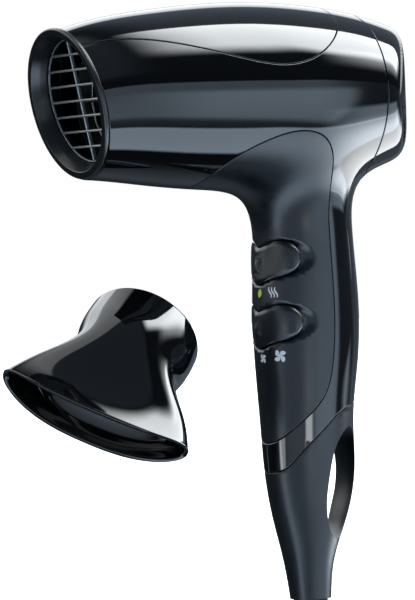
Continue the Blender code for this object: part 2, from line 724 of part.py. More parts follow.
def rocker_window(z):
    """What a rocker's opening takes out of the handle cover."""
    wing = ROCKER_WING + ROCKER_SWING + radians(5)
    rows = rocker_rows(z, wing, ROCKER_HALF_H + ROCKER_CLEAR, lambda s, u: 4.0, WALL + 3.5)
    return grid_solid("window", rows, None)


def cap_swell(share, up):
    """Outside of the cap: a ridge in the middle, dished sides, full wing ends."""
    ridge = 1.5 * np.exp(-(share / 0.12) ** 2)
    end = 1.3 * np.exp(-((abs(share) - 0.82) / 0.22) ** 2)
    return 0.5 + (ridge + end) * (1 - 0.35 * up ** 2)


def make_rocker(which):
    z = ROCKER_Z[which]
    rows = rocker_rows(z, ROCKER_WING, ROCKER_HALF_H, cap_swell, ROCKER_WALL)
    rocker = grid_solid(f"{which}_rocker", rows, MATTE)
    pin = Vector((ROCKER_PIN_X, 0, z))
    half = ARM_Z - 1.0
    front = ROCKER_PIN_X - skin_reach(0, z) + ROCKER_WALL - 1.4
    join(rocker, box("web", (front, ROCKER_PIN_X), (-1.5, 1.5), (z - 4, z + 3)),
         rod("hub", HUB_R, 2 * half, pin - Vector((0, 0, half)), (0, 0, 1)))
    prong = KNOB_HALF + FORK_CLEAR
    ahead = ROCKER_PIN_X + KNOB_LEVER
    join(rocker, box("fork", (ROCKER_PIN_X + 1, ahead + 1.6), (-prong - 1.6, prong + 1.6),
                     (z - 2.0, z + 2.0)))
    cut(rocker, box("gap", (ahead - 1.9, ahead + 4), (-prong, prong), (z - 4, z + 4)))
    cut(rocker, rod("bore", PIN_R + FIT, 4 * half, pin - Vector((0, 0, 2 * half)), (0, 0, 1)))
    rocker.data.transform(Matrix.Translation(-pin * MM))
    rocker.location = pin * MM
    reach = ARM_Z + FRAME_WALL
    rod(f"{which}_rocker_pin", PIN_R, 2 * reach, pin - Vector((0, 0, reach)), (0, 0, 1), STEEL)


def make_switch(which):
    z = ROCKER_Z[which]
    hy, hz = SWITCH_HALF_Y, SWITCH_HALF_Z
    body = box(f"{which}_switch_body", SWITCH_X, (-hy, hy), (z - hz, z + hz), BLACK_NYLON)
    depth, half_y, half_z = 3.2, 5.5, 2.2
    cut(body, box("channel", (SWITCH_X[0] - 1, SWITCH_X[0] + depth), (-half_y, half_y),
                  (z - half_z, z + half_z)))
    foot = (SWITCH_X[0] + 0.5, SWITCH_X[0] + depth - 0.4)
    slider = box(f"{which}_slider", foot, (-4, 4), (z - half_z + 0.4, z + half_z - 0.4), NYLON)
    tip = ROCKER_PIN_X + KNOB_LEVER - 1.2
    join(slider, box("knob", (tip, foot[0] + 0.5), (-KNOB_HALF, KNOB_HALF), (z - 1.2, z + 1.2)))
    middle = Vector((foot[0], 0, z)) * MM
    slider.data.transform(Matrix.Translation(-middle))
    slider.location = middle


def make_switch_frame():
    """Back plate with an arm above and below each rocker, which hold the pins."""
    back = SWITCH_X[1] + GAP
    zs = ROCKER_Z.values()
    low, high = min(zs) - ARM_Z - 2, max(zs) + ARM_Z + 2
    half = SWITCH_HALF_Y
    frame = box("switch_frame", (back, back + FRAME_WALL), (-half, half), (low, high), BLACK_NYLON)
    for z in zs:
        for level in (z - ARM_Z, z + ARM_Z):
            thick = FRAME_WALL / 2
            join(frame, box("arm", (ROCKER_PIN_X - 3, back + 0.5), (-3, 3),
                            (level - thick, level + thick)))
            cut(frame, rod("bore", PIN_R + FIT, 4, (ROCKER_PIN_X, 0, level - 2), (0, 0, 1)))


# ---------------------------------------------------------------- drive train
def axis_point(x, y=0.0, z=0.0):
    return Vector((x, y, BARREL_Z + z))


def make_fan_housing():
    """Duct round the fan with straightening vanes and the motor's cup."""
    x0, x1 = DUCT_X
    duct = tube("fan_housing", DUCT_R - DUCT_WALL, DUCT_R, x1 - x0, axis_point(x0), (1, 0, 0),
                NYLON, 32)
    cup_in = MOTOR_R + FIT
    cup_x = (MOTOR_X[0] + 1, MOTOR_X[1] - 1)
    cup = tube("cup", cup_in, cup_in + CUP_WALL, cup_x[1] - cup_x[0], axis_point(cup_x[0]),
               (1, 0, 0), None, 32)
    vanes = []
    for k in range(VANES):
        angle = 2 * pi * k / VANES + pi / VANES
        vane = box("vane", (cup_x[0] + 2, cup_x[1] - 2), (-0.7, 0.7),
                   (cup_in + 0.6, DUCT_R - 0.7))
        vane.data.transform(Matrix.Rotation(angle, 4, "X"))
        vane.location = axis_point(0) * MM
        vanes.append(vane)
    bpy.context.view_layer.update()
    for vane in vanes:
        join(duct, vane)
    join(duct, cup)


def make_motor():
    x0, x1 = MOTOR_X
    bore = SHAFT_R + FIT
    profile = ((bore, 0), (MOTOR_R, 0), (MOTOR_R, x1 - x0 - 1), (MOTOR_R - 1, x1 - x0),
               (4.0, x1 - x0), (4.0, x1 - x0 + 1.8), (bore, x1 - x0 + 1.8))
    turned("motor_can", profile, axis_point(x0), (1, 0, 0), STEEL, 32)
    cap = 2.4
    tube("motor_end_cap", bore, MOTOR_R - 0.6, cap, axis_point(x0 - GAP - cap), (1, 0, 0),
         BLACK_NYLON, 32)
    rod("motor_shaft", SHAFT_R, FAN_X[1] - x0 + 4, axis_point(x0 - 5), (1, 0, 0), STEEL, 12,
        place=axis_point(0))


def fan_blade(angle):
    """One twisted blade, from inside the hub out to the fan's radius."""
    length = FAN_X[1] - FAN_X[0]
    rows = []
    for r in np.linspace(FAN_HUB_R - 1.5, FAN_R, 6):
        pitch = radians(62 - 26 * (r - FAN_HUB_R) / (FAN_R - FAN_HUB_R))
        chord = min(length * 0.86 / max(cos(pitch), 0.35), 13.0)
        ring = []
        for u, v in ((-0.5, 0.0), (-0.2, 0.5), (0.2, 0.45), (0.5, 0.0), (0.2, -0.45), (-0.2, -0.4)):
            along = u * chord * cos(pitch)
            round_ = u * chord * sin(pitch)
            ring.append(((FAN_X[0] + FAN_X[1]) / 2 + along + v * sin(pitch),
                         round_ - v * cos(pitch), float(r)))
        rows.append(ring)
    blade = grid_solid("blade", rows, None)
    blade.data.transform(Matrix.Rotation(angle, 4, "X"))
    blade.location = axis_point(0) * MM
    return blade


def make_fan():
    x0, x1 = FAN_X
    bore = SHAFT_R + FIT
    length = x1 - x0
    profile = ((bore, 0), (FAN_HUB_R, 0), (FAN_HUB_R, length - 3), (FAN_HUB_R - 1, length - 1),
               (FAN_HUB_R - 4, length), (bore, length))
    fan = turned("fan", profile, axis_point(x0), (1, 0, 0), BLACK_NYLON, 24)
    blades = [fan_blade(2 * pi * k / BLADES) for k in range(BLADES)]
    bpy.context.view_layer.update()
    join(fan, *blades)
    middle = axis_point(0) * MM
    fan.data.transform(Matrix.Translation(-middle))
    fan.location = middle


def make_rectifier():
    x = MOTOR_X[0] - GAP - 2.4 - 1.6
    tube("rectifier_board", 3.0, 12.6, 1.0, axis_point(x - 1.0), (1, 0, 0), BOARD, 24)
    for k in range(4):
        angle = pi / 4 + k * pi / 2
        centre = axis_point(x - 1 - 1.5 - GAP, 8.5 * sin(angle), 8.5 * cos(angle))
        way = Vector((0, cos(angle), -sin(angle)))
        rod(f"rectifier_diode_{k + 1}", 1.4, 5.0, centre - way * 2.5, way, BLACK_NYLON, 12)


def make_heater():
    x0, x1 = SLEEVE_X
    tube("heater_sleeve", SLEEVE_R - SLEEVE_WALL, SLEEVE_R, x1 - x0, axis_point(x0), (1, 0, 0),
         MICA_SHEET, 32)
    ends = (x0 + 2, x1 - 1)
    middle, slot = (ends[0] + ends[1]) / 2, MICA / 2 + 0.3
    half, thin = MICA_HALF, MICA / 2
    z = (BARREL_Z - half, BARREL_Z + half)
    upright = box("mica_board_upright", ends, (-thin, thin), z, MICA_SHEET)
    cut(upright, box("slot", (ends[0] - 1, middle + FIT), (-5, 5), (BARREL_Z - slot, BARREL_Z + slot)))
    cross = box("mica_board_cross", ends, (-half, half), (BARREL_Z - thin, BARREL_Z + thin),
                MICA_SHEET)
    cut(cross, box("slot", (middle - FIT, ends[1] + 1), (-slot, slot), (z[0], z[1])))
    radius = (half + COIL_WIRE_R + 0.35) / cos(pi / 16)
    for which, start in COIL_STARTS.items():
        points = [axis_point(start + COIL_PITCH * k / 16, radius * sin(2 * pi * k / 16),
                             radius * cos(2 * pi * k / 16)) for k in range(16 * COIL_TURNS + 1)]
        wire(f"heating_coil_{which}", points, COIL_WIRE_R, NICHROME, 1)
    side = thin + FIT
    rod("thermostat", 5.5, 3.2, axis_point(-48, side, 11), (0, 1, 0), STEEL, 20)
    rod("thermal_fuse", 1.6, 9, axis_point(-52, side + 1.7, -11), (1, 0, 0), STEEL, 12)


def sector(x, length, r0, r1, a0, a1):
    """A block between two radii and two angles round the barrel axis."""
    arc = np.linspace(a0, a1, 6)
    outline = [(r0 * sin(a), r0 * cos(a)) for a in arc]
    outline += [(r1 * sin(a), r1 * cos(a)) for a in arc[::-1]]
    rows = [[tuple(axis_point(u, y, z)) for y, z in outline] for u in (x, x + length)]
    return grid_solid("sector", rows, None)


def make_dust_screen():
    """A thin disc with openings between its spokes, behind the intake grille."""
    x, thick, outer, spokes, spoke = REAR_SEAM_X + 6, 1.0, 27.4, 8, 1.2
    screen = rod("dust_screen", outer, thick, axis_point(x), (1, 0, 0), BLACK_NYLON, 32)
    openings = []
    for r0, r1 in ((4.0, 13.0), (14.4, 24.8)):
        for k in range(spokes):
            a0 = 2 * pi * k / spokes + spoke / (r0 + r1)
            a1 = 2 * pi * (k + 1) / spokes - spoke / (r0 + r1)
            openings.append(sector(x - 1, thick + 2, r0, r1, a0, a1))
    cut(screen, *openings)


# ---------------------------------------------------------------- outlet
def outlet_frame():
    """Matrix from outlet coordinates: z runs inwards, x points up the slanted face."""
    inward = Vector((1, 0, OUTLET_SLANT)).normalized()
    up = Vector((-OUTLET_SLANT, 0, 1)).normalized()
    centre = Vector((OUTLET_X, 0, float(axis_height(OUTLET_X))))
    turn = Matrix((up, inward.cross(up), inward)).transposed().to_4x4()
    return Matrix.Translation(centre) @ turn


def in_outlet(made):
    frame = outlet_frame()
    made.data.transform(Matrix.Scale(1 / MM, 4))
    made.data.transform(frame)
    made.data.transform(Matrix.Scale(MM, 4))
    return made


def make_outlet():
    outer = float(barrel_radius(OUTLET_X)) + 0.1
    spigot = outer - WALL - 1.6
    profile = ((RING_MOUTH_R, 0), (outer - 0.6, 0), (outer, 0.6), (outer, LIP), (spigot, LIP),
               (RING_SEAT_R + RING_WALL, RING_DEPTH), (RING_SEAT_R, RING_DEPTH),
               (RING_SEAT_R, GRILLE_DEPTH - GAP), (spigot - RING_WALL, LIP))
    in_outlet(turned("outlet_ring", profile, (0, 0, 0), (0, 0, 1), MATTE, 40))
    radius = RING_SEAT_R - GAP
    z = (GRILLE_DEPTH, GRILLE_DEPTH + GRILLE_THICK)
    grille = tube("outlet_grille", radius - 1.0, radius, GRILLE_THICK, (0, 0, z[0]), (0, 0, 1),
                  CHROME, 32)
    half = BAR_WIDTH / 2
    for k in range(BARS):
        level = (k - (BARS - 1) / 2) * BAR_PITCH
        reach = ((radius - 0.5) ** 2 - level ** 2) ** 0.5
        join(grille, box("bar", (level - half, level + half), (-reach, reach), z))
    join(grille, box("rib", (-radius + 0.5, radius - 0.5), (-half, half), z))
    in_outlet(grille)


# ---------------------------------------------------------------- leads
def curved(points, spacing=6.0):
    """Points along a smooth curve through hand-set ones."""
    along = np.concatenate([[0], np.cumsum([(Vector(b) - Vector(a)).length
                                            for a, b in zip(points, points[1:])])])
    axes = [smooth_curve(along, [p[i] for p in points]) for i in range(3)]
    count = int(along[-1] / spacing) + 1
    return [tuple(float(f(t)) for f in axes) for t in np.linspace(0, along[-1], count + 1)]


def make_leads():
    speed, heat = ROCKER_Z["speed"], ROCKER_Z["heat"]
    below = speed - SWITCH_HALF_Z - 0.6
    wire("supply_lead_live", curved(((-10.5, 1.8, -55), (-9, 2.4, -38), (-1, 4.5, -20),
                                     (4, 4.5, -10), (4, 4.5, below))), 1.0, LEAD)
    wire("supply_lead_neutral", curved(((-10.5, -1.8, -55), (-8, -3, -38), (6, -7, -20),
                                        (12.4, -10.4, 0), (12.4, -10.4, 28), (7, -10.4, 46),
                                        (-8, -6, 60), (-22, -4, 65), (-26.6, -4, 76),
                                        (-26.6, -3.6, BARREL_Z - 14))), 1.0, LEAD)
    wire("heater_lead", curved(((4, 4, heat + SWITCH_HALF_Z + 0.6), (3, 4, 48), (-8, 4, 58),
                                (-22, 4, 65), (-26.6, 4, 76), (-26.6, 3.6, BARREL_Z - 14))),
         1.0, LEAD)


# ---------------------------------------------------------------- concentrator nozzle
def nozzle_width(s):
    curve = smooth_curve((0, COLLAR_LENGTH, *(share * NOZZLE_LENGTH for share, _ in WAIST),
                          NOZZLE_LENGTH),
                         (COLLAR_R, COLLAR_R, *(COLLAR_R + more for _, more in WAIST),
                          MOUTH_HALF_W))
    return float(curve(s))


def towards_mouth(s):
    """0 along the collar, easing to 1 at the mouth."""
    share = max(s - COLLAR_LENGTH, 0) / (NOZZLE_LENGTH - COLLAR_LENGTH)
    return share * share * (3 - 2 * share)


def nozzle_thickness(s):
    return COLLAR_R + (MOUTH_HALF_T - COLLAR_R) * towards_mouth(s)


def squared(value, power):
    """A cosine or sine of a circle made into that of a squarer curve."""
    return (abs(value) ** (2 / power)) * (1 if value > 0 else -1)


def make_nozzle():
    bm = bmesh.new()
    rows, count = [], 24
    for k in range(10):
        s = NOZZLE_LENGTH * k / 9
        power = 2 + (MOUTH_POWER - 2) * towards_mouth(s)
        ring = []
        for j in range(count):
            t = 2 * pi * j / count
            bulge = NOZZLE_BULGE * (1 - cos(t) ** 2) * (s / NOZZLE_LENGTH) ** 2
            ring.append(bm.verts.new((nozzle_width(s) * squared(cos(t), power),
                                      nozzle_thickness(s) * squared(sin(t), power), s + bulge)))
        rows.append(ring)
    for a, b in zip(rows, rows[1:]):
        for j in range(count):
            n = (j + 1) % count
            bm.faces.new((a[j], a[n], b[n], b[j]))
    mouth = NOZZLE_MOUTH_WAY
    wide = (NOZZLE_WIDE_WAY - NOZZLE_WIDE_WAY.dot(mouth) * mouth).normalized()
    turn = Matrix((wide, mouth.cross(wide), mouth)).transposed().to_4x4()
    bmesh.ops.transform(bm, matrix=Matrix.Translation(NOZZLE_PLACE) @ turn, verts=bm.verts)
    bm.normal_update()
    collar = set(rows[0])
    ways = [v.normal - v.normal.dot(mouth) * mouth if v in collar else v.normal for v in bm.verts]
    thicken(bm, NOZZLE_WALL, ways)
    put("concentrator_nozzle", bm, GLOSS, NOZZLE_PLACE)


def main():
    for old in list(bpy.data.objects):
        bpy.data.objects.remove(old)
    make_housing()
    make_housing_screws()
    make_covers()
    make_handle_end()
    make_cord_inlet()
    for which in ROCKER_Z:
        make_rocker(which)
        make_switch(which)
    make_switch_frame()
    make_fan_housing()
    make_motor()
    make_fan()
    make_rectifier()
    make_heater()
    make_dust_screen()
    make_outlet()
    make_leads()
    make_nozzle()


main()
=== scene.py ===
"""Looks of a compact travel hair dryer with its loose concentrator nozzle.

Lengths are in millimetres here and become metres when a mesh is made (MM).  The casing is one
smooth form, given by form_distance(); every casing part is the stretch of it inside its seams.
"""

import json
from math import cos, hypot, pi, radians, sin

import bmesh
import bpy
import numpy as np
from mathutils import Matrix, Vector


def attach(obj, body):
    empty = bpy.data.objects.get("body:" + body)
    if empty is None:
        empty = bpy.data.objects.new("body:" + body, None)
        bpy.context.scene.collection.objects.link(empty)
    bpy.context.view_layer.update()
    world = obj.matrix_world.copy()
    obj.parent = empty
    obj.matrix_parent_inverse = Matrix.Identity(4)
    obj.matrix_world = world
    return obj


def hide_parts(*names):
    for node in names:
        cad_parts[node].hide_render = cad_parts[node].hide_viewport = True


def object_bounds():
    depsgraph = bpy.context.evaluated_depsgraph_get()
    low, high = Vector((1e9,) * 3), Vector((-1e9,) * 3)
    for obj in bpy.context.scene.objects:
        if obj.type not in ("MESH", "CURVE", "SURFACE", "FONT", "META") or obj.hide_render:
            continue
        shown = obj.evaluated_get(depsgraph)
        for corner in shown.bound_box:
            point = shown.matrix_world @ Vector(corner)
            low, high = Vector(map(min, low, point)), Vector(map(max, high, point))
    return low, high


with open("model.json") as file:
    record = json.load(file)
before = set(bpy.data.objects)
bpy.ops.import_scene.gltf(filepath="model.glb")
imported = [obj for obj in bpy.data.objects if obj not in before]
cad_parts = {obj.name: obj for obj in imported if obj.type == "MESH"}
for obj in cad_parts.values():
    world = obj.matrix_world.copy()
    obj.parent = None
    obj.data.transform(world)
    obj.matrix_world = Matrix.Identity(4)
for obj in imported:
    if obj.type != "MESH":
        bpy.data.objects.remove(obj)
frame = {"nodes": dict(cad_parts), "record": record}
cad_low, cad_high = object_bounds()
NODES = frame["nodes"]

MM = 0.001
GAP = 0.3                    # free gap between neighbouring casing parts
WALL = 2.2                   # casing wall
EDGE_ROUND = 0.28            # rounding of every seam's edge

# Barrel and handle, as in the CAD
BARREL_Z = 99.7
BARREL_X = (-118, -96, -64, -32, 5, 30, 50)
BARREL_R = (29.8, 33.3, 37.4, 39.4, 37.6, 33.3, 27.3)
NOSE_DROOP, DROOP_START, DROOP_LENGTH = 2.0, -75.0, 36.0
REAR_X, REAR_BULGE, RIM_ROUND = 47.5, 11.0, 7.0
HANDLE_Z = (-114, -98, -80, -60, -38, -12, 12, 38, 70, BARREL_Z)
HANDLE_FRONT = (-11.4, -13.7, -17.9, -20.9, -21.9, -23.1, -23.1, -21.4, -20.0, -19.4)
HANDLE_REAR = (5.9, 7.7, 14.6, 19.2, 19.2, 22.5, 23.5, 21.8, 21.2, 22.0)
HANDLE_HALF = (8.2, 10.0, 12.6, 14.6, 16.0, 17.6, 18.2, 18.2, 18.5, 19.0)
SQUARENESS = 2.25
BLEND_FRONT, BLEND_REAR = 32.0, 24.0
OUTLET_X, OUTLET_SLANT, LIP = -111.0, 0.21, 2.0
TOP_SEAM = ((-125, 118.5), (-98, 122.7), (-72, 120.0), (-48, 114.2), (-28, 111.0),
            (-14, 113.5), (-1, 121.0), (6, 128.2), (8.8, 141))
GRIP_SEAM = ((-61, 56), (-51, 71), (-35, 80.3), (-19, 83.6), (-8, 80.6), (0, 69), (2, 52),
             (2.9, 28), (2.3, -12), (-2, -27), (-12, -37.6), (-27, -52.5))
END_SEAM = ((-30, -60), (-20, -59), (-13.6, -52.3), (-0.7, -39.8), (6, -34.6), (15, -31.8),
            (28, -31))
REAR_SEAM_X = 23.6
REAR_HALF_X = 30             # behind this the skin belongs to the barrel's rear
INTAKE_R = 25.6
SLOTS, SLOT_PITCH, SLOT_HIGH = 7, 5.6, 2.8
ROCKERS = {"heat": 30.3, "speed": 3.3}
PIN_X = -9.0
ROCKER_WING = radians(83)
ROCKER_HALF, ROCKER_SMILE = 7.6, 3.4
EYE_WING, EYE_HALF, EYE_DEPTH, EYE_EDGE = radians(105), 9.0, 1.9, 2.4
LOOP = ((11, -41.5), (5.6, -45), (2.2, -51.5), (0, -62), (-1.1, -73), (-0.2, -81), (2.4, -87),
        (5.8, -89.2), (9, -87), (12, -80), (15.0, -70), (16.4, -59), (15.8, -50), (14, -44))
STRAP_HALF, LOOP_FLARE = 4.5, 1.15
INLET_R, INLET_DEPTH, GLAND_HEAD, CORD_R = 5.6, 8.0, 3.2, 3.0
NOZZLE_PLACE = Vector((-69.8, 16.6, 1.4))
NOZZLE_WAY = Vector((-0.696, -0.447, -0.562)).normalized()
NOZZLE_WIDE = Vector((0.705, -0.572, -0.420))
NOZZLE_LENGTH, NOZZLE_BULGE, NOZZLE_WALL = 53.5, 8.3, 1.8
COLLAR_R, COLLAR_LENGTH = 24.6, 12.0
MOUTH_HALF_W, MOUTH_HALF_T = 41.6, 10.0
MOUTH_POWER = 2.5            # 2 would make the mouth an ellipse; more squares its ends
WAIST = ((0.458, -0.7), (0.708, 8.5))    # (share of the length, half width beyond the collar)


# ---------------------------------------------------------------- camera
YAW, TIP = radians(30), radians(2.6)       # round the dryer, and the dryer's own nod
LENS, DISTANCE = 200.0, 1418.0
AIM_RIGHT, AIM_UP = -41.9, 12.76


def upright(right, up, near):
    """A direction or place given as seen from the camera, in the dryer's own frame."""
    x, y = right * cos(YAW) - near * sin(YAW), -right * sin(YAW) - near * cos(YAW)
    return Vector((x * cos(TIP) + up * sin(TIP), y, -x * sin(TIP) + up * cos(TIP)))


camera = bpy.data.objects.new("camera", bpy.data.cameras.new("camera"))
bpy.context.scene.collection.objects.link(camera)
camera.data.lens = LENS
camera.data.clip_start, camera.data.clip_end = 0.05, 20
camera.matrix_world = (Matrix.Translation(upright(AIM_RIGHT, AIM_UP, DISTANCE) * MM)
                       @ Matrix((upright(1, 0, 0), upright(0, 1, 0), upright(0, 0, 1)))
                       .transposed().to_4x4())
bpy.context.scene.camera = camera


# ---------------------------------------------------------------- the smooth outer form
def smooth_curve(xs, ys):
    """Natural cubic spline through (xs, ys), straight beyond its ends."""
    xs, ys = np.array(xs, float), np.array(ys, float)
    step = np.diff(xs)
    count = len(xs)
    system, right = np.eye(count), np.zeros(count)
    for i in range(1, count - 1):
        system[i, i - 1:i + 2] = step[i - 1], 2 * (step[i - 1] + step[i]), step[i]
        right[i] = 6 * ((ys[i + 1] - ys[i]) / step[i] - (ys[i] - ys[i - 1]) / step[i - 1])
    bend = np.linalg.solve(system, right)

    def value(x):
        x = np.asarray(x, float)
        i = np.clip(np.searchsorted(xs, x) - 1, 0, count - 2)
        near = np.clip(x, xs[0], xs[-1])
        a, b, h = xs[i + 1] - near, near - xs[i], step[i]
        inside = ((bend[i] * a ** 3 + bend[i + 1] * b ** 3) / (6 * h)
                  + (ys[i] / h - bend[i] * h / 6) * a + (ys[i + 1] / h - bend[i + 1] * h / 6) * b)
        first = (ys[1] - ys[0]) / step[0] - step[0] * bend[1] / 6
        last = (ys[-1] - ys[-2]) / step[-1] + step[-1] * bend[-2] / 6
        slope = np.where(x > xs[-1], last, np.where(x < xs[0], first, 0.0))
        return inside + slope * (x - near)
    return value


barrel_radius = smooth_curve(BARREL_X, BARREL_R)
handle_front = smooth_curve(HANDLE_Z, HANDLE_FRONT)
handle_rear = smooth_curve(HANDLE_Z, HANDLE_REAR)
handle_half = smooth_curve(HANDLE_Z, HANDLE_HALF)


def axis_height(x):
    return BARREL_Z - NOSE_DROOP * np.maximum((DROOP_START - x) / DROOP_LENGTH, 0) ** 3


def smooth_max(a, b, width):
    overlap = np.maximum(width - np.abs(a - b), 0) / width
    return np.maximum(a, b) + overlap ** 3 * width / 6


def ease(share):
    share = np.clip(share, 0, 1)
    return share * share * (3 - 2 * share)


def form_distance(points):
    """Signed distance to the casing's smooth form, near enough: negative inside."""
    x, y, z = points[:, 0], points[:, 1], points[:, 2]
    taper = barrel_radius(x + 0.5) - barrel_radius(x - 0.5)
    barrel = (np.hypot(y, z - axis_height(x)) - barrel_radius(x)) / np.sqrt(1 + taper ** 2)
    rear = 0.9 * (x - REAR_X + REAR_BULGE * (y / 28) ** 2)
    barrel = smooth_max(barrel, rear, RIM_ROUND)
    front, back, half = handle_front(z), handle_rear(z), handle_half(z)
    across, middle = (back - front) / 2, (back + front) / 2
    share = (np.abs((x - middle) / across) ** SQUARENESS
             + np.abs(y / half) ** SQUARENESS) ** (1 / SQUARENESS)
    handle = (share - 1) * np.sqrt((x - middle) ** 2 + y ** 2 + 1e-9) / np.maximum(share, 1e-6)
    handle = smooth_max(handle, z - BARREL_Z, 10)
    rearward = ease((x + 20) / 45)
    blend = BLEND_FRONT * (1 - rearward) + BLEND_REAR * rearward
    return -smooth_max(-barrel, -handle, blend)


def rocker_place(points, level):
    """Angle round a rocker's pin and height above its smiling middle line."""
    angle = np.abs(np.arctan2(points[:, 1], PIN_X - points[:, 0]))
    lift = 1.0 - ROCKER_SMILE * np.exp(-(points[:, 1] / 7.0) ** 2)
    return angle, points[:, 2] - level - lift


def outline_depth(angle, height, wing, half, power):
    """How far inside a rocker-shaped outline a place is, about in millimetres."""
    return (1 - np.sqrt((angle / wing) ** power + (height / half) ** 2)) * half


def scoop(points):
    """Depth of the eye-shaped hollows round the rockers."""
    depth = 0
    for level in ROCKERS.values():
        angle, height = rocker_place(points, level)
        inside = outline_depth(angle, height, EYE_WING, EYE_HALF, 4)
        depth = depth + EYE_DEPTH * ease(inside / EYE_EDGE)
    return depth


def grip_distance(points):
    return form_distance(points) + scoop(points)


PROBE = 0.05                 # how far to each side a form's slope is felt


def rise_along_axes(points, form):
    return np.stack([form(points + e) - form(points - e) for e in np.eye(3) * PROBE], 1)


def form_slope(points, form=form_distance):
    """The form's outward direction at each point."""
    slope = rise_along_axes(points, form)
    return slope / np.sqrt((slope ** 2).sum(1))[:, None]


def onto(points, form=form_distance):
    """Slides points along the slope until they lie on the form."""
    points = np.array(points, float)
    for _ in range(8):
        slope = rise_along_axes(points, form) / (2 * PROBE)
        points -= slope * (form(points) / (slope ** 2).sum(1))[:, None]
    return points


def outlet_plane_x(z):
    return OUTLET_X - OUTLET_SLANT * (z - float(axis_height(OUTLET_X)))


# ---------------------------------------------------------------- the casing's surface
AROUND, HANDLE_AROUND = 24, 18
SKIN_CUTS, GRIP_CUTS = 3, 7  # how much finer the whole skin and the scooped grip are made
NOSE_STATION, NOSE_SLANT = -104, 0.6     # the ring between the outlet's slant and upright ones
HOLE = (10, 14)              # the handle leaves the barrel between these, at the bottom
HOLE_RINGS = (7, 12)
STATIONS = (-96, -80, -64, -48, -34, -21.5, -9, 3.5, 16, 28, 35, 40)
REAR_FACE_R = (32, 29.4, 22.6, 15.5, 8)
SECTION_Z = (50, 44, 38, 30, 20, 10, 0, -10, -20, -30, -40, -50, -60, -70, -80, -89, -98,
             -106, -114)


def draw_ring(bm, edges, around, place):
    """Extrudes a ring of edges and puts each new point where `place` says."""
    drawn = bmesh.ops.extrude_edge_only(bm, edges=edges)["geom"]
    points = [g for g in drawn if isinstance(g, bmesh.types.BMVert)]
    for v in points:
        v.co = place(v[around])
    fresh = set(points)
    return [g for g in drawn if isinstance(g, bmesh.types.BMEdge) and set(g.verts) <= fresh]


def first_ring(bm, count, around, place):
    """A circle whose points know their number round the ring."""
    made = bmesh.ops.create_circle(bm, segments=count, radius=1)["verts"]
    for k, v in enumerate(made):
        v[around] = k
    for v in made:
        v.co = place(v[around])
    fresh = set(made)
    return [e for e in bm.edges if set(e.verts) <= fresh]


def barrel_place(x, slant=0.0):
    radius, height = float(barrel_radius(x)), float(axis_height(x))

    def place(k):
        t = 2 * pi * k / AROUND
        return x - slant * radius * cos(t), radius * sin(t), height + radius * cos(t)
    return place


def rear_place(radius):
    def place(k):
        t = 2 * pi * k / AROUND
        return (REAR_X - REAR_BULGE * (radius * sin(t) / 28) ** 2, radius * sin(t),
                BARREL_Z + radius * cos(t))
    return place


def handle_place(z):
    front, back = float(handle_front(z)), float(handle_rear(z))

    def place(k):
        t = 2 * pi * k / HANDLE_AROUND
        return ((front + back) / 2 - (back - front) / 2 * cos(t),
                float(handle_half(z)) * sin(t), z)
    return place


def casing_surface(cuts):
    """The whole skin, open at the outlet and at the handle's end, `cuts` times finer."""
    bm = bmesh.new()
    around = bm.verts.layers.int.new("around")
    ring = first_ring(bm, AROUND, around, barrel_place(OUTLET_X + LIP + GAP, OUTLET_SLANT))
    places = [barrel_place(NOSE_STATION, OUTLET_SLANT * NOSE_SLANT)]
    places += [barrel_place(x) for x in STATIONS]
    places += [rear_place(r) for r in REAR_FACE_R] + [rear_place(0)]
    rings = [{v for e in ring for v in e.verts}]
    for place in places:
        ring = draw_ring(bm, ring, around, place)
        rings.append({v for e in ring for v in e.verts})
    over = set().union(*rings[HOLE_RINGS[0]:HOLE_RINGS[1] + 1])
    over = {v for v in over if HOLE[0] <= v[around] <= HOLE[1]}
    bmesh.ops.delete(bm, geom=[f for f in bm.faces if set(f.verts) <= over], context="FACES")
    mouth = [e for e in bm.edges if e.is_boundary and set(e.verts) <= over]
    bmesh.ops.remove_doubles(bm, verts=list(rings[-1]), dist=1e-3)
    ring = first_ring(bm, HANDLE_AROUND, around, handle_place(SECTION_Z[0]))
    joined = bmesh.ops.bridge_loops(bm, edges=mouth + ring)
    uprights = [e for e in joined["edges"] if e not in mouth and e not in ring]
    bmesh.ops.subdivide_edges(bm, edges=uprights, cuts=1, use_grid_fill=True)
    for z in SECTION_Z[1:]:
        ring = draw_ring(bm, ring, around, handle_place(z))
    bmesh.ops.subdivide_edges(bm, edges=bm.edges, cuts=cuts, use_grid_fill=True)
    bmesh.ops.recalc_face_normals(bm, faces=bm.faces)
    if max(bm.faces, key=lambda f: f.calc_center_median().z).normal.z < 0:
        bmesh.ops.reverse_faces(bm, faces=bm.faces)
    return bm


def lay_on(bm, form):
    """Puts every point on the form."""
    verts = list(bm.verts)
    for v, p in zip(verts, onto([v.co for v in verts], form)):
        v.co = p
    return bm


def settle(bm):
    """Lays the skin on the casing's form and flattens its two open ends."""
    for v in lay_on(bm, form_distance).verts:
        if v.is_boundary and v.co.z < -50:
            v.co.z = HANDLE_Z[0]
        elif v.is_boundary and v.co.x < -50:
            v.co.x = outlet_plane_x(v.co.z) + (LIP + GAP)
    return bm


def smooth_path(points, per_span=8, closed=False):
    points = list(points)
    wrap = points[-3:] + points + points[:3] if closed else points
    along = np.concatenate([[0], np.cumsum([hypot(b[0] - a[0], b[1] - a[1])
                                            for a, b in zip(wrap, wrap[1:])])])
    fx = smooth_curve(along, [p[0] for p in wrap])
    fz = smooth_curve(along, [p[1] for p in wrap])
    spans = range(3, 3 + len(points)) if closed else range(len(wrap) - 1)
    path = [along[i] + (along[i + 1] - along[i]) * k / per_span
            for i in spans for k in range(per_span)]
    if not closed:
        path.append(along[-1])
    return [(float(fx(t)), float(fz(t))) for t in path]


